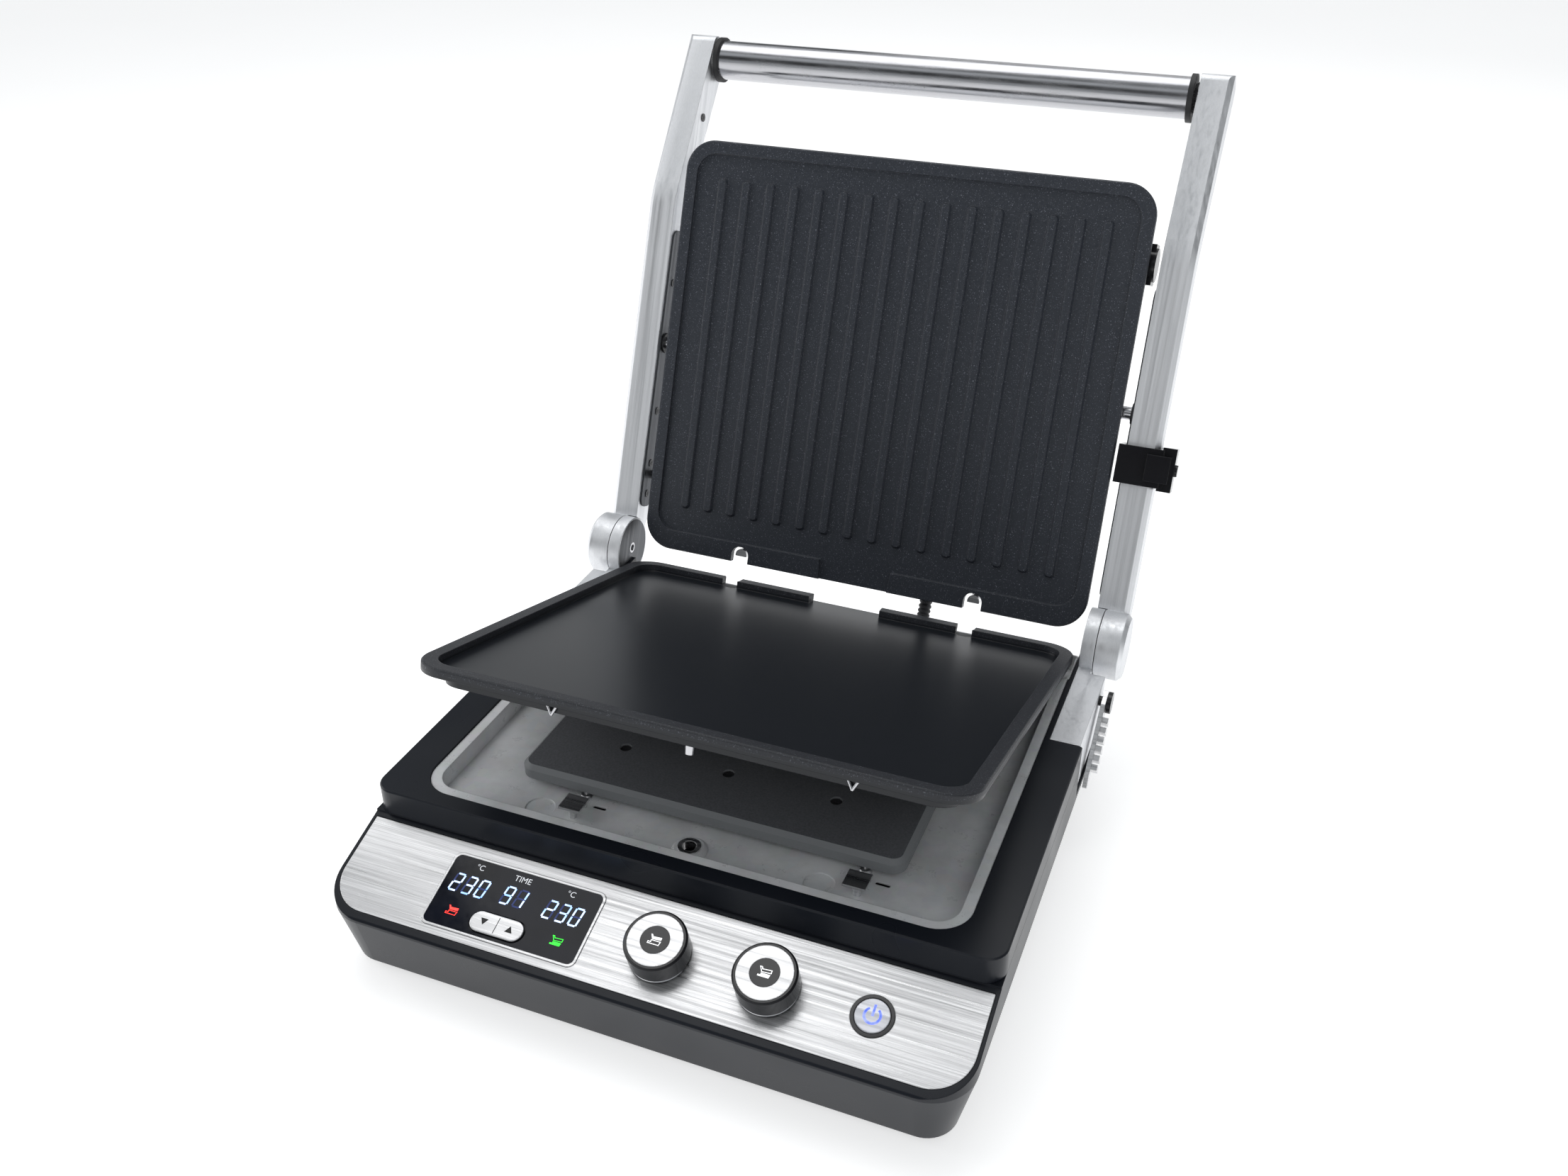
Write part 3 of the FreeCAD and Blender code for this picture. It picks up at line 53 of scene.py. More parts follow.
# ---- places, in millimetres from the deck's front edge on the symmetry plane ------

DATUM = Vector((-4.5, -196.9, 77.5))
PANEL_SLOPE = math.radians(18.4)
LID_ANGLE = math.radians(110.85)
ARM_ANGLE = math.radians(112.3)
PLATE_LIFT = math.radians(16.7)
HINGE_Y, HINGE_Z = 271.4, 7.3

# Controls, drawn flat on the sloping panel: x, and y negative down from its top edge
KNOB_ROW = -27.6
KNOBS = (("upper", 10.5, True, "upper_heat_knob"), ("lower", 67.6, False, "lower_heat_knob"))
POWER_X, POWER_Y = 119.8, -27.4
SIGN_ROW = -11.9

# Heights of printed faces above the panel
GLASS_FACE = 0.22
POWER_FACE = 0.71
ROCKER_FACE = 1.32
KNOB_FACE = 13.06

# Lid side arms, and the conduit behind the upper plate
DISC_FACE_X = 154.5
ARM_FACE_X = 155.6
UPPER_SCREW_X = 156.4
ARM_INSET = 5.6
ARM_THICK = 20.4
ARM_SCREWS = (36, 57, 92.5, 178)
PLATE_FACE = 7.75
PLATE_THICK = 12.6
HOSE_X = 45.5
HOSE_BACK = 9
HOSE_OUTLET = (274.6, -24)
HOSE_TOP = 17.9
HOSE_RIDGE = 4.15
HOSE_GROOVE = 0.75
HOSE_PITCH = 8


def frame_at(y, z, angle):
    """Local frame turned about X, in the row frame's metres."""
    shift = Matrix.Translation((DATUM + Vector((0, y, z))) * MM)
    return shift @ Matrix.Rotation(angle, 4, "X") @ Matrix.Scale(MM, 4)


BASE = frame_at(0, 0, 0)
PANEL = frame_at(-2, -17.9, PANEL_SLOPE)
ARM = frame_at(HINGE_Y, HINGE_Z, -ARM_ANGLE)
PLATE = frame_at(224.5, 0.6, -PLATE_LIFT)


# ---- materials ----------------------------------------------------------------------

class Finish:
    """A Principled material and the few nodes that its detail needs."""

    def __init__(self, name, colour, rough, metal=0.0, specular=0.5, anisotropic=0.0):
        self.mat = bpy.data.materials.new(name)
        self.mat.use_nodes = True
        self.nodes = self.mat.node_tree.nodes
        self.links = self.mat.node_tree.links
        self.shader = self.nodes["Principled BSDF"]
        self.set("Base Color", (*colour, 1))
        self.set("Roughness", rough)
        self.set("Metallic", metal)
        self.set("Specular IOR Level", specular)
        self.set("Anisotropic", anisotropic)
        self.object_space = self.nodes.new("ShaderNodeTexCoord").outputs["Object"]

    def set(self, socket, value):
        self.shader.inputs[socket].default_value = value

    def link(self, output, socket):
        self.links.new(output, self.shader.inputs[socket])

    def space(self, scale=(1, 1, 1), turn=(0, 0, 0)):
        """Object coordinates, turned and then stretched."""
        rotate = self.nodes.new("ShaderNodeMapping")
        rotate.inputs["Rotation"].default_value = turn
        stretch = self.nodes.new("ShaderNodeMapping")
        stretch.inputs["Scale"].default_value = scale
        self.links.new(self.object_space, rotate.inputs["Vector"])
        self.links.new(rotate.outputs["Vector"], stretch.inputs["Vector"])
        return stretch.outputs["Vector"]

    def noise(self, space, scale=1.0, detail=3.0, rough=0.55):
        node = self.nodes.new("ShaderNodeTexNoise")
        node.inputs["Scale"].default_value = scale
        node.inputs["Detail"].default_value = detail
        node.inputs["Roughness"].default_value = rough
        self.links.new(space, node.inputs["Vector"])
        return node.outputs["Fac"]

    def cells(self, space, scale):
        node = self.nodes.new("ShaderNodeTexVoronoi")
        node.inputs["Scale"].default_value = scale
        self.links.new(space, node.inputs["Vector"])
        return node

    def spread(self, value, low, high, start=0.3, stop=0.7):
        """Maps a noise value's middle band onto low..high."""
        node = self.nodes.new("ShaderNodeMapRange")
        node.inputs["From Min"].default_value = start
        node.inputs["From Max"].default_value = stop
        node.inputs["To Min"].default_value = low
        node.inputs["To Max"].default_value = high
        self.links.new(value, node.inputs["Value"])
        return node.outputs["Result"]

    def blend(self, factor, first, second):
        """Colour between two colours, or between a colour and an output."""
        node = self.nodes.new("ShaderNodeMix")
        node.data_type = "RGBA"
        self.links.new(factor, node.inputs["Factor"])
        for value, socket in ((first, node.inputs["A"]), (second, node.inputs["B"])):
            if isinstance(value, tuple):
                socket.default_value = (*value, 1)
            else:
                self.links.new(value, socket)
        return node.outputs["Result"]

    def colour(self, factor, first, second):
        self.link(self.blend(factor, first, second), "Base Color")

    def bump(self, height, strength, distance, after=None):
        node = self.nodes.new("ShaderNodeBump")
        node.inputs["Strength"].default_value = strength
        node.inputs["Distance"].default_value = distance
        self.links.new(height, node.inputs["Height"])
        if after is not None:
            self.links.new(after, node.inputs["Normal"])
        self.link(node.outputs["Normal"], "Normal")
        return node.outputs["Normal"]

    def soft_edges(self, radius):
        node = self.nodes.new("ShaderNodeBevel")
        node.samples = 4
        node.inputs["Radius"].default_value = radius
        self.link(node.outputs["Normal"], "Normal")
        return node.outputs["Normal"]


def moulded(name, colour, rough, grain=1400, edge=0.0007, specular=0.5):
    """Moulded plastic: fine spark-eroded grain and slow changes of sheen."""
    f = Finish(name, colour, rough, specular=specular)
    edges = f.soft_edges(edge)
    f.link(f.spread(f.noise(f.space(), 14, 2), rough - 0.05, rough + 0.07), "Roughness")
    f.colour(f.spread(f.noise(f.space(), 9, 3), 0.0, 1.0), colour, tuple(c * 1.25 for c in colour))
    f.bump(f.noise(f.space(), grain, 2), 0.10, 0.0001, edges)
    return f


def brushed(name, colour, rough, stretch, turn=(0, 0, 0), depth=0.18, contrast=0.6, edge=0.0006):
    """Brushed metal: streaks of several lengths along one direction."""
    f = Finish(name, colour, rough, metal=1.0, anisotropic=0.35)
    edges = f.soft_edges(edge)
    fine = f.noise(f.space(stretch, turn), 1.0, 6, 0.7)
    broad = f.noise(f.space(tuple(v * 0.35 for v in stretch), turn), 1.0, 3, 0.6)
    f.colour(f.spread(fine, 0.0, 1.0, 0.28, 0.68), tuple(c * contrast for c in colour), colour)
    f.link(f.spread(broad, rough - 0.10, rough + 0.16), "Roughness")
    f.bump(fine, depth, 0.00012, edges)
    return f


def polished(name, colour, rough, scratch=60):
    """Polished metal with faint handling marks."""
    f = Finish(name, colour, rough, metal=1.0)
    f.link(f.spread(f.noise(f.space((1, 8, 8)), scratch, 5, 0.7), rough * 0.6, rough * 1.6), "Roughness")
    f.bump(f.noise(f.space((1, 6, 6)), scratch * 6, 3), 0.03, 0.0001)
    return f


def mottled():
    """Zinc-coated sheet: clouded grey patches with a faint spangle."""
    f = Finish("mottled_steel", (0.72, 0.72, 0.71), 0.38, metal=0.12)
    edges = f.soft_edges(0.0009)
    clouds = f.noise(f.space(), 26, 6, 0.62)
    spangle = f.cells(f.space(), 170).outputs["Color"]
    grey = f.blend(f.spread(clouds, 0.0, 1.0, 0.30, 0.66), (0.70, 0.71, 0.72), (0.94, 0.95, 0.96))
    tint = f.nodes.new("ShaderNodeMix")
    tint.data_type = "RGBA"
    tint.blend_type = "SOFT_LIGHT"
    tint.inputs["Factor"].default_value = 0.10
    f.links.new(grey, tint.inputs["A"])
    f.links.new(spangle, tint.inputs["B"])
    f.link(tint.outputs["Result"], "Base Color")
    f.link(f.spread(f.noise(f.space(), 90, 5, 0.7), 0.22, 0.52), "Roughness")
    f.bump(f.noise(f.space(), 45, 4), 0.06, 0.0003, edges)
    return f


def speckled(name, colour, speck, rough, amount=0.62, edge=0.0008):
    """Sprayed non-stick coating with fine pale specks."""
    f = Finish(name, colour, rough, specular=0.55)
    edges = f.soft_edges(edge)
    dots = f.noise(f.space(), 1500, 2, 0.5)
    f.colour(f.spread(dots, 0.0, 1.0, amount, amount + 0.10), colour, speck)
    f.link(f.spread(f.noise(f.space(), 700, 2), rough - 0.08, rough + 0.10), "Roughness")
    f.bump(dots, 0.22, 0.00025, edges)
    return f


def griddle():
    """Smooth satin black inside the tub, speckled coating on the rim above it."""
    f = Finish("nonstick_lower", (0.012, 0.012, 0.013), 0.34, specular=0.5)
    edges = f.soft_edges(0.0008)
    level = f.nodes.new("ShaderNodeVectorMath")
    level.operation = "DOT_PRODUCT"
    normal = PLATE.to_3x3().normalized() @ Vector((0, 0, 1))
    rim = PLATE @ Vector((0, 0, 12.8))
    level.inputs[1].default_value = normal
    f.links.new(f.object_space, level.inputs[0])
    height = normal.dot(rim)
    on_rim = f.spread(level.outputs["Value"], 0.0, 1.0, height - 0.0036, height - 0.0030)
    dots = f.noise(f.space(), 1500, 2, 0.5)
    rim_colour = f.blend(f.spread(dots, 0.0, 1.0, 0.60, 0.72), (0.020, 0.022, 0.028), (0.12, 0.13, 0.15))
    f.colour(on_rim, (0.011, 0.013, 0.017), rim_colour)
    f.link(f.spread(on_rim, 0.30, 0.50, 0, 1), "Roughness")
    rough = f.nodes.new("ShaderNodeMath")
    rough.operation = "MULTIPLY"
    f.links.new(dots, rough.inputs[0])
    f.links.new(on_rim, rough.inputs[1])
    f.bump(rough.outputs["Value"], 0.2, 0.0002, edges)
    return f


def cast_heater():
    """Matt cast plate: dark grainy faces, with a painted highlight that draws the chamfers and side faces
    paler the further they turn from upward.
    """
    f = Finish("heater_cast", (0.07, 0.073, 0.08), 0.55, specular=0.5)
    normal = f.nodes.new("ShaderNodeNewGeometry").outputs["True Normal"]
    part = f.nodes.new("ShaderNodeSeparateXYZ")
    f.links.new(normal, part.inputs[0])
    grain = f.noise(f.space(), 900, 3)
    face = f.blend(f.spread(grain, 0, 1), (0.125, 0.13, 0.14), (0.185, 0.19, 0.205))
    # painted highlight: colour keyed to the true normal, so faces turned away from upward are drawn paler
    edge = f.spread(part.outputs["Z"], 1.0, 0.0, 0.80, 0.92)
    f.colour(edge, face, (0.26, 0.27, 0.28))
    f.link(f.spread(grain, 0.46, 0.66), "Roughness")
    f.bump(grain, 0.25, 0.0003)
    return f


def glowing(name, colour, strength, shade=None):
    """Emissive symbol with a soft falloff along the symbol: the lit display signs behind glass, and the
    knobs' white print drawn with a painted glow.
    """
    f = Finish(name, colour, 0.4)
    drift = f.spread(f.noise(f.space(), 260, 1), 0.0, 1.0)
    tone = f.blend(drift, colour, shade or tuple(min(1, c * 1.25 + 0.03) for c in colour))
    f.link(tone, "Emission Color")
    f.set("Emission Strength", strength)
    return f


def display_glass():
    """Near-black display window with the dark blue of the cell behind it."""
    f = Finish("display_glass", (0.004, 0.005, 0.010), 0.10, specular=0.22)
    f.colour(f.spread(f.noise(f.space(), 30, 2), 0, 1), (0.003, 0.004, 0.008), (0.006, 0.008, 0.018))
    f.link(f.spread(f.noise(f.space(), 220, 3), 0.05, 0.13), "Roughness")
    return f


ALONG_X = (14, 1500, 1500)
ARM_TURN = (ARM_ANGLE - math.pi, 0, 0)
FINISHES = {
    "black_plastic": moulded("black_plastic", (0.010, 0.012, 0.017), 0.30, specular=0.30),
    "mottled_steel": mottled(),
    "heater_cast": cast_heater(),
    "nonstick_upper": speckled("nonstick_upper", (0.030, 0.035, 0.046), (0.19, 0.20, 0.24), 0.40),
    "nonstick_lower": griddle(),
    "brushed_panel": brushed("brushed_panel", (0.93, 0.93, 0.94), 0.34, ALONG_X, depth=0.30, contrast=0.50),
    "arm_metal": brushed("arm_metal", (0.86, 0.87, 0.89), 0.48, (1600, 14, 1600), ARM_TURN,
                         depth=0.04, contrast=0.90),
    "dark_cover": brushed("dark_cover", (0.13, 0.135, 0.145), 0.40, (1600, 14, 1600), ARM_TURN,
                          depth=0.08, contrast=0.75),
    "chrome": polished("chrome", (0.60, 0.60, 0.62), 0.12),
    "tube_steel": polished("tube_steel", (0.50, 0.50, 0.52), 0.20, 30),
    "gloss_black": moulded("gloss_black", (0.010, 0.010, 0.012), 0.16, 600, 0.0004),
    "display_glass": display_glass(),
    "silver_trim": brushed("silver_trim", (0.86, 0.86, 0.87), 0.30, ALONG_X, depth=0.12, contrast=0.72),
    "button_silver": brushed("button_silver", (0.66, 0.67, 0.71), 0.36, ALONG_X, depth=0.06, contrast=0.9),
    "rubber": moulded("rubber", (0.014, 0.014, 0.015), 0.55, 900),
    "screw_black": moulded("screw_black", (0.03, 0.03, 0.033), 0.38, 900, 0.0003),
    "hose_black": moulded("hose_black", (0.022, 0.022, 0.025), 0.46, 1200),
    "element_metal": polished("element_metal", (0.35, 0.35, 0.36), 0.4),
}
SIGNS = {
    "digit_lit": glowing("digit_lit", (0.25, 0.45, 1.0), 1.5, (0.75, 0.86, 1.0)),
    "digit_unlit": glowing("digit_unlit", (0.012, 0.03, 0.16), 0.35),
    "sign_grey": glowing("sign_grey", (0.50, 0.52, 0.55), 0.9),
    # the knobs' white print is real, its glow is painted light that keeps it bright under any lamp
    "white_print_painted_glow": glowing("white_print_painted_glow", (0.85, 0.86, 0.88), 0.9),
    "sign_red": glowing("sign_red", (1.0, 0.03, 0.02), 1.6),
    "sign_green": glowing("sign_green", (0.03, 0.75, 0.04), 1.2),
    "sign_power": glowing("sign_power", (0.05, 0.10, 0.95), 1.3, (0.30, 0.36, 1.0)),
    "sign_black": moulded("sign_black", (0.006, 0.006, 0.007), 0.4),
}
for entry in frame["record"]["subparts"]:
    node = NODES[entry["node"]]
    finish = FINISHES[entry["material_slot"]].mat
    for index in range(max(1, len(node.material_slots))):
        if node.material_slots:
            node.material_slots[index].material = finish
        else:
            node.data.materials.append(finish)


# ---- small pieces -------------------------------------------------------------------

def piece(name, verts, faces, finish, place, body, smooth=False):
    """A mesh given in a local frame's millimetres, riding on a body."""
    mesh = bpy.data.meshes.new(name)
    mesh.from_pydata([tuple(place @ Vector(v)) for v in verts], [], faces)
    mesh.validate()
    mesh.materials.append(finish.mat)
    for polygon in mesh.polygons:
        polygon.use_smooth = smooth
    obj = bpy.data.objects.new(name, mesh)
    bpy.context.scene.collection.objects.link(obj)
    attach(obj, body)
    return obj


class Flat:
    """Gathers thin printed shapes at one level of a local frame."""

    def __init__(self, level, thick=0.05):
        self.verts = []
        self.faces = []
        self.level = level
        self.thick = thick

    def polygon(self, points):
        """A thin slab over a closed outline, given anticlockwise."""
        area = sum(a[0] * b[1] - b[0] * a[1] for a, b in zip(points, points[1:] + points[:1]))
        if area < 0:
            points = points[::-1]
        first, count = len(self.verts), len(points)
        for z in (self.level, self.level + self.thick):
            self.verts += [(x, y, z) for x, y in points]
        top = [first + count + i for i in range(count)]
        bottom = [first + i for i in reversed(range(count))]
        self.faces += [top, bottom]
        for i in range(count):
            j = (i + 1) % count
            self.faces.append([first + i, first + j, first + count + j, first + count + i])

    def line(self, points, width, closed=False):
        """Straight strokes of one width through the points."""
        pairs = list(zip(points, points[1:] + points[:1]))
        for (ax, ay), (bx, by) in pairs if closed else pairs[:-1]:
            length = math.hypot(bx - ax, by - ay)
            tx, ty = (bx - ax) / length * width / 2, (by - ay) / length * width / 2
            self.polygon([(ax - tx + ty, ay - ty - tx), (bx + tx + ty, by + ty - tx),
                          (bx + tx - ty, by + ty + tx), (ax - tx - ty, ay - ty + tx)])

    def arc(self, cx, cy, radius, width, start, stop, steps=36):
        """Part of a ring, angles in degrees."""
        outer, inner = [], []
        for i in range(steps + 1):
            angle = math.radians(start + (stop - start) * i / steps)
            outer.append((cx + (radius + width / 2) * math.cos(angle),
                          cy + (radius + width / 2) * math.sin(angle)))
            inner.append((cx + (radius - width / 2) * math.cos(angle),
                          cy + (radius - width / 2) * math.sin(angle)))
        for i in range(steps):
            self.polygon([inner[i], outer[i], outer[i + 1], inner[i + 1]])

    def make(self, name, finish, place, body):
        return piece(name, self.verts, self.faces, finish, place, body)


SEGMENTS = {
    "a": [(0, 1), (1, 1)], "b": [(1, 1), (1, 0.5)], "c": [(1, 0.5), (1, 0)],
    "d": [(0, 0), (1, 0)], "e": [(0, 0.5), (0, 0)], "f": [(0, 1), (0, 0.5)],
    "g": [(0, 0.5), (1, 0.5)],
}
DIGITS = {"0": "abcdef", "1": "bc", "2": "abged", "3": "abgcd", "9": "abcdfg"}


def number(text, x, y, lit, unlit, wide=4.4, high=9.6, step=7.5, lean=0.12, width=0.95):
    """Seven-segment digits, x and y at the low left corner of the first one."""
    for place_index, character in enumerate(text):
        for name, ends in SEGMENTS.items():
            spots = []
            for u, v in ends:
                spots.append((x + place_index * step + u * wide + lean * v * high, y + v * high))
            (ax, ay), (bx, by) = spots
            gap = 0.75 / math.hypot(bx - ax, by - ay)
            ends = [(ax + (bx - ax) * gap, ay + (by - ay) * gap),
                    (bx - (bx - ax) * gap, by - (by - ay) * gap)]
            (lit if name in DIGITS[character] else unlit).line(ends, width)


def grill_icon(solid, outline, x, y, wide, lid_filled, stroke=0.35):
    """Open grill in side view: the heated half is filled, the other is outlined."""
    high = wide * 0.8
    lid = [(0.02, 1.0), (0.16, 1.0), (0.26, 0.80), (1.0, 0.86), (1.0, 0.56), (0.24, 0.50)]
    base = [(0.22, 0.40), (1.0, 0.40), (0.93, 0.02), (0.0, 0.02), (0.0, 0.20), (0.22, 0.20)]
    for shape, filled in ((lid, lid_filled), (base, not lid_filled)):
        points = [(x + (u - 0.5) * wide, y + (v - 0.5) * high) for u, v in shape]
        if filled:
            solid.polygon(points)
        else:
            outline.line(points, stroke, closed=True)


def lettering(name, text, x, y, size, level, finish, place, body):
    """Generic display words, set in Blender's own font."""
    curve = bpy.data.curves.new(name, "FONT")
    curve.body = text
    curve.size = size
    curve.align_x = "CENTER"
    curve.align_y = "CENTER"
    curve.extrude = 0.02
    holder = bpy.data.objects.new(name + "_text", curve)
    bpy.context.scene.collection.objects.link(holder)
    mesh = bpy.data.meshes.new_from_object(holder.evaluated_get(bpy.context.evaluated_depsgraph_get()))
    bpy.data.objects.remove(holder)
    mesh.transform(place @ Matrix.Translation((x, y, level)))
    mesh.materials.clear()
    mesh.materials.append(finish.mat)
    obj = bpy.data.objects.new(name, mesh)
    bpy.context.scene.collection.objects.link(obj)
    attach(obj, body)
    return obj


def ring_mesh(place_at, axis_u, axis_v, profile, steps=48):
    """Revolved profile: (radius, distance along the axis) pairs, closed round."""
    verts, faces = [], []
    along = axis_u.cross(axis_v)
    for i in range(steps):
        angle = 2 * math.pi * i / steps
        out = axis_u * math.cos(angle) + axis_v * math.sin(angle)
        for radius, distance in profile:
            verts.append(tuple(place_at + out * radius + along * distance))
    count = len(profile)
    for i in range(steps):
        j = (i + 1) % steps
        for k in range(count):
            m = (k + 1) % count
            faces.append([i * count + k, j * count + k, j * count + m, i * count + m])
    return verts, faces


# ---- display ------------------------------------------------------------------------

def display():
    lit, unlit = Flat(GLASS_FACE), Flat(GLASS_FACE)
    number("230", -110.5, -27.6, lit, unlit)
    number("91", -80.8, -26.8, lit, unlit)
    number("230", -55.9, -27.6, lit, unlit)
    lit.make("display_digits", SIGNS["digit_lit"], PANEL, "base")
    unlit.make("display_unlit_segments", SIGNS["digit_unlit"], PANEL, "base")
    for name, x, text, size in (("unit_left", -99.5, "°C", 4.4), ("unit_right", -46.2, "°C", 4.4),
                                ("time_word", -74.3, "TIME", 4.6)):
        lettering(name, text, x, SIGN_ROW, size, GLASS_FACE, SIGNS["sign_grey"], PANEL, "base")
    for name, x, y, lid_filled, sign in (("icon_upper_on", -102.0, -38.0, True, "sign_red"),
                                         ("icon_lower_on", -42.0, -37.6, False, "sign_green")):
        shape = Flat(GLASS_FACE)
        grill_icon(shape, shape, x, y, 6.0, lid_filled)
        shape.make(name, SIGNS[sign], PANEL, "base")
    marks = Flat(ROCKER_FACE)
    marks.polygon([(-84.6, -37.6), (-80.4, -37.6), (-82.5, -41.2)])
    marks.polygon([(-69.6, -41.2), (-65.4, -41.2), (-67.5, -37.6)])
    marks.line([(-75, -35.2), (-75, -43.8)], 0.35)
    marks.make("rocker_marks", SIGNS["sign_black"], PANEL, "timer_rocker")


# ---- knob and power symbols -----------------------------------------------------------

def knob_signs():
    for name, x, lid_filled, body in KNOBS:
        icon = Flat(KNOB_FACE, 0.04)
        grill_icon(icon, icon, x, KNOB_ROW, 6.2, lid_filled, 0.4)
        # white print on the knob face, given a painted glow
        icon.make("knob_icon_" + name, SIGNS["white_print_painted_glow"], PANEL, body)


def power_sign():
    stroke = 1.1
    symbol = Flat(POWER_FACE)
    symbol.arc(POWER_X, POWER_Y, 3.9, stroke, 125, 415)
    symbol.line([(POWER_X, POWER_Y + 0.4), (POWER_X, POWER_Y + 5.0)], stroke)
    symbol.make("power_symbol", SIGNS["sign_power"], PANEL, "power_button")


# ---- fasteners and the hinge's threaded hole ---------------------------------------------

BOX_FACES = ((0, 1, 2, 3), (7, 6, 5, 4), (0, 4, 5, 1), (1, 5, 6, 2), (2, 6, 7, 3), (3, 7, 4, 0))


def cross_recesses():
    """Black crosses in the arm screws, painted shade standing in for their cross recesses, on the straight
    run and beyond the arm's bend.
    """
    middle = ARM_INSET + ARM_THICK / 2
    bend, past, kink = 232, 58, math.radians(16.7)
    upper = (bend + past * math.cos(kink), middle + past * math.sin(kink), UPPER_SCREW_X)
    spots = [(s, middle, ARM_FACE_X) for s in ARM_SCREWS] + [upper]
    verts, faces = [], []
    for side in (-1, 1):
        for s, off, face in spots:
            for turn in (0.5, 2.07):
                along = Vector((0, math.cos(turn), math.sin(turn)))
                across = Vector((0, -math.sin(turn), math.cos(turn)))
                first = len(verts)
                for depth in (0.0, -0.06):
                    for a, b in ((-1.5, -0.3), (1.5, -0.3), (1.5, 0.3), (-1.5, 0.3)):
                        spot = Vector((side * (face + depth), -s, off)) + along * a + across * b
                        verts.append(tuple(spot))
                faces += [[first + i for i in quad] for quad in BOX_FACES]
    # the black crosses are painted shade for the hollow of each screw's cross recess, not cut into the
    # heads
    piece("screw_recess_painted_shade", verts, faces, SIGNS["sign_black"], ARM, "lid_arms")


def hinge_threads():
    """Threaded holes and dark inner faces in the hinge discs."""
    hole = 2.38
    for side, name in ((-1, "left"), (1, "right")):
        centre = Vector((side * DISC_FACE_X, HINGE_Y, HINGE_Z))
        u, v = Vector((0, 1, 0)), Vector((0, 0, 1))
        verts, faces = [], []
        profile = [(hole, 0), (3.5, 0), (3.5, -side * 0.04), (hole, -side * 0.04)]
        turns = [profile]
        for i in range(5):
            depth = side * (0.35 + i * 0.7)
            turns.append([(2.39, depth), (2.39, depth + side * 0.5), (2.05, depth + side * 0.25)])
        for shape in turns:
            more, quads = ring_mesh(centre, u, v, shape)
            faces += [[len(verts) + i for i in quad] for quad in quads]
            verts += more
        piece("hinge_thread_" + name, verts, faces, FINISHES["chrome"], BASE, "base", smooth=False)
        face = [(3.5, 0), (19.4, 0), (19.4, -side * 0.08), (3.5, -side * 0.08)]
        verts, faces = ring_mesh(centre, u, v, face, 96)
        piece("hinge_face_" + name, verts, faces, FINISHES["dark_cover"], BASE, "base")


# ---- fluted conduit ---------------------------------------------------------------------

def conduit():
    """Ribbed hose between the housing's rear wall and the lid head."""
    back = PLATE_FACE + PLATE_THICK + HOSE_BACK
    rise = Vector((0, -math.cos(LID_ANGLE), math.sin(LID_ANGLE)))
    across = Vector((0, math.sin(LID_ANGLE), math.cos(LID_ANGLE)))
    start = Vector((HOSE_X, *HOSE_OUTLET))
    end = Vector((HOSE_X, HINGE_Y, HINGE_Z)) + rise * HOSE_TOP + across * back
    knee = end - rise * ((end.z - start.z) / rise.z)
    steps = 150
    centres = []
    for i in range(steps + 1):
        t = i / steps
        centres.append(start * (1 - t) ** 2 + knee * 2 * t * (1 - t) + end * t * t)
    split = steps // 2
    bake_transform(hose("fluted_conduit", centres, 0, split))
    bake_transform(hose("fluted_conduit_top", centres, split, steps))


def hose(name, centres, first, last):
    """The fluted tube round part of a route of centres."""
    verts, faces = [], []
    sides = 28
    for i in range(first, last + 1):
        ahead = centres[min(i + 1, len(centres) - 1)] - centres[max(i - 1, 0)]
        ahead.normalize()
        sideways = Vector((1, 0, 0))
        upright = ahead.cross(sideways)
        wave = (i % HOSE_PITCH) / HOSE_PITCH
        radius = HOSE_RIDGE - HOSE_GROOVE * (0.5 + 0.5 * math.cos(2 * math.pi * wave)) ** 2
        for j in range(sides):
            angle = 2 * math.pi * j / sides
            out = sideways * math.cos(angle) + upright * math.sin(angle)
            verts.append(tuple(centres[i] + out * radius))
    rings = last - first
    for i in range(rings):
        for j in range(sides):
            k = (j + 1) % sides
            faces.append([i * sides + j, i * sides + k, (i + 1) * sides + k, (i + 1) * sides + j])
    faces.append(list(range(sides)))
    faces.append([rings * sides + j for j in reversed(range(sides))])
    mesh = bpy.data.meshes.new(name)
    mesh.from_pydata([tuple(BASE @ Vector(v)) for v in verts], [], faces)
    mesh.materials.append(FINISHES["hose_black"].mat)
    for polygon in mesh.polygons:
        polygon.use_smooth = True
    obj = bpy.data.objects.new(name, mesh)
    bpy.context.scene.collection.objects.link(obj)
    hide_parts("cable_conduit")
    return obj


display()
knob_signs()
power_sign()
cross_recesses()
hinge_threads()
conduit()


# ---- studio -------------------------------------------------------------------------------

def floor():
    mesh = bpy.data.meshes.new("floor")
    span = 30.0
    mesh.from_pydata([(-span, -span, 0), (span, -span, 0), (span, span, 0), (-span, span, 0)], [],
                     [(0, 1, 2, 3)])
    pale = Finish("floor_pale", (0.92, 0.92, 0.92), 0.8)
    pale.set("Emission Color", (1, 1, 1, 1))
    pale.set("Emission Strength", 0.60)
    pale.colour(pale.spread(pale.noise(pale.space(), 3, 2), 0, 1), (0.91, 0.91, 0.91), (0.93, 0.93, 0.93))
    mesh.materials.append(pale.mat)
    obj = bpy.data.objects.new("floor", mesh)
    bpy.context.scene.collection.objects.link(obj)


def softbox(name, location, target, wide, high, power):
    light = bpy.data.lights.new(name, "AREA")
    light.shape = "RECTANGLE"
    light.size = wide
    light.size_y = high
    light.energy = power
    obj = bpy.data.objects.new(name, light)
    obj.location = location
    obj.rotation_euler = (Vector(target) - Vector(location)).to_track_quat("-Z", "Y").to_euler()
    bpy.context.scene.collection.objects.link(obj)


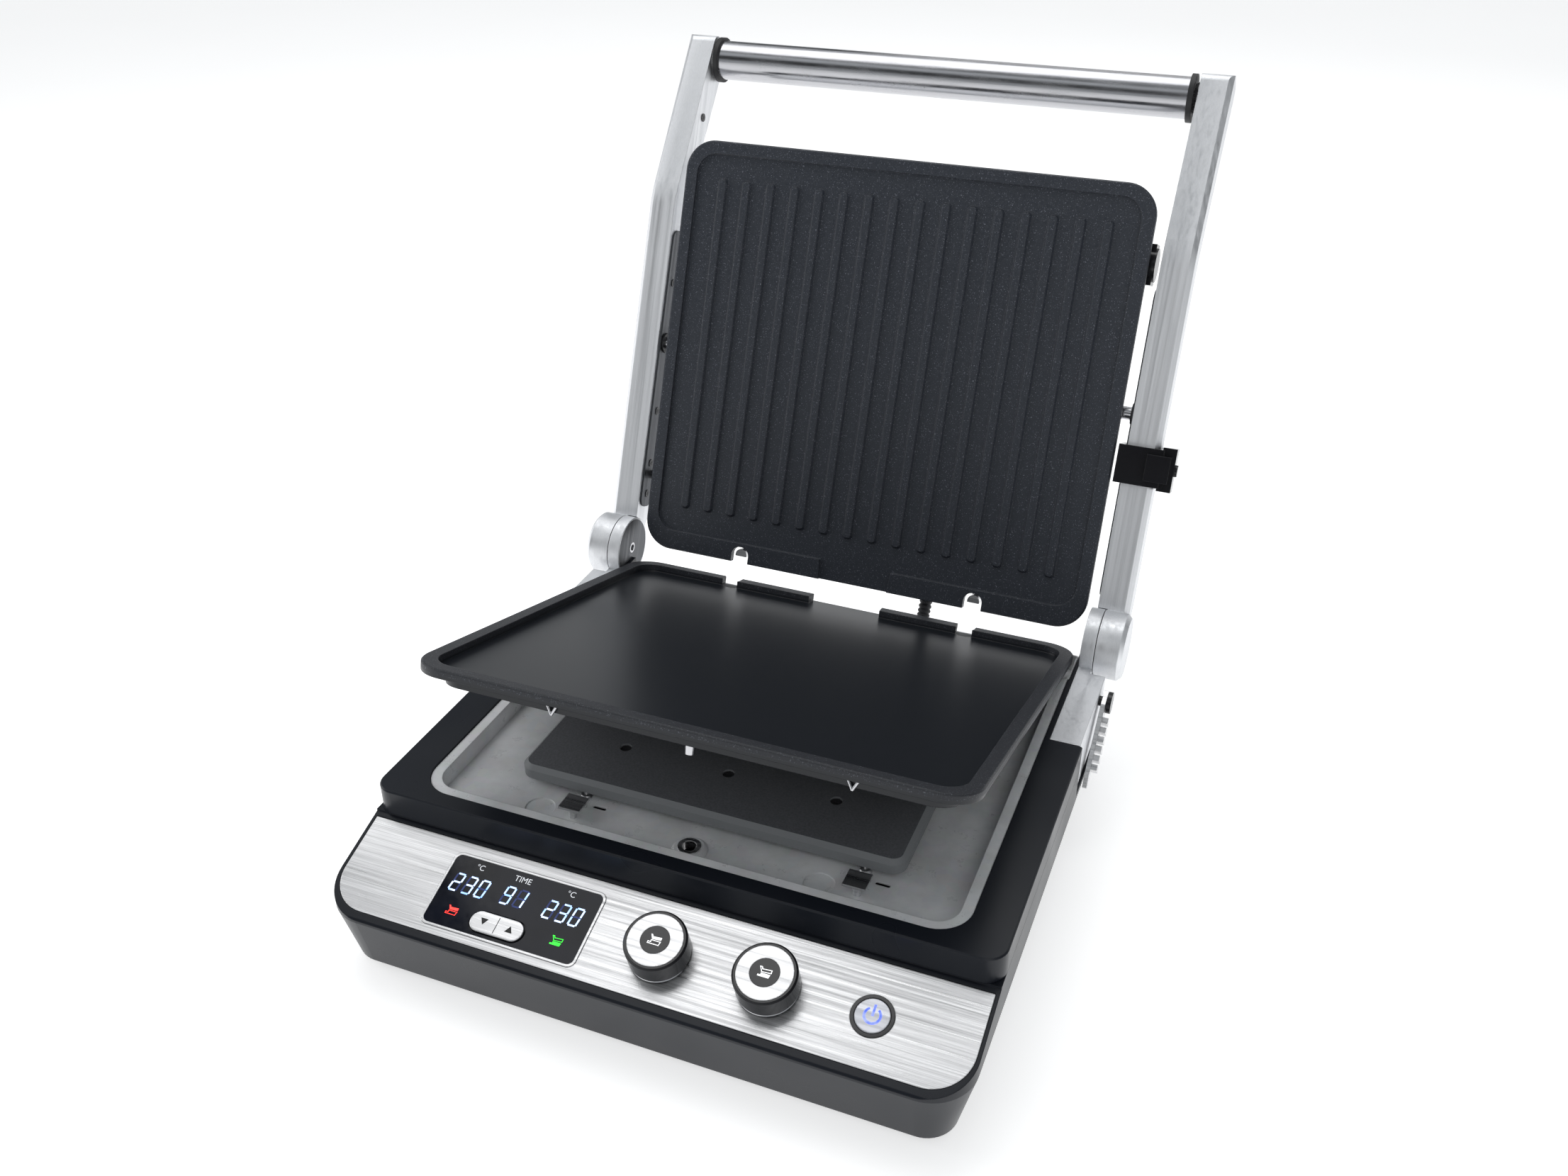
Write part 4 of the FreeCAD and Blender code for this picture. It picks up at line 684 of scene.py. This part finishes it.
def sky():
    """Studio ceiling: pale near the horizon, a dark band, and bright panels overhead."""
    world = bpy.data.worlds.new("studio")
    world.use_nodes = True
    nodes, links = world.node_tree.nodes, world.node_tree.links
    direction = nodes.new("ShaderNodeTexCoord").outputs["Generated"]
    part = nodes.new("ShaderNodeSeparateXYZ")
    ramp = nodes.new("ShaderNodeValToRGB")
    stops = [(0.0, 0.60), (0.22, 0.46), (0.32, 0.06), (0.54, 0.08), (0.62, 0.66), (0.76, 0.80),
             (0.82, 0.20), (1.0, 0.60)]
    while len(ramp.color_ramp.elements) < len(stops):
        ramp.color_ramp.elements.new(0.5)
    for element, (height, level) in zip(ramp.color_ramp.elements, stops):
        element.position = height
        element.color = (level * 0.93, level * 0.97, level, 1)
    links.new(direction, part.inputs[0])
    links.new(part.outputs["Z"], ramp.inputs["Fac"])
    links.new(ramp.outputs["Color"], nodes["Background"].inputs["Color"])
    nodes["Background"].inputs["Strength"].default_value = 0.8
    bpy.context.scene.world = world


def studio():
    floor()
    sky()
    softbox("top", (-0.4, 0.5, 1.9), (0, 0, 0.1), 1.8, 1.2, 13)
    softbox("left", (-1.7, -0.3, 0.8), (0, 0, 0.15), 0.9, 1.2, 7)
    softbox("front", (0.9, -1.7, 1.3), (0, 0, 0.1), 1.2, 0.7, 4)
    softbox("back", (0.3, 1.9, 1.2), (0, 0.1, 0.2), 2.0, 0.8, 3)


def camera():
    """The photograph's view: a 33 mm lens on a 36 mm frame, from the front right and above."""
    data = bpy.data.cameras.new("camera")
    data.sensor_width = 36
    data.lens = 33.0
    obj = bpy.data.objects.new("camera", data)
    turn = Euler((math.radians(90 - 31.31), 0, math.radians(21.82))).to_matrix().to_4x4()
    roll = Matrix.Rotation(math.radians(-0.10), 4, "Z")
    place = (DATUM + Vector((255.4, -476.2, 489.8))) * MM
    obj.matrix_world = Matrix.Translation(place) @ turn @ roll
    bpy.context.scene.collection.objects.link(obj)
    bpy.context.scene.camera = obj


studio()
camera()
bpy.context.scene.view_settings.view_transform = "Standard"

bpy.context.view_layer.update()
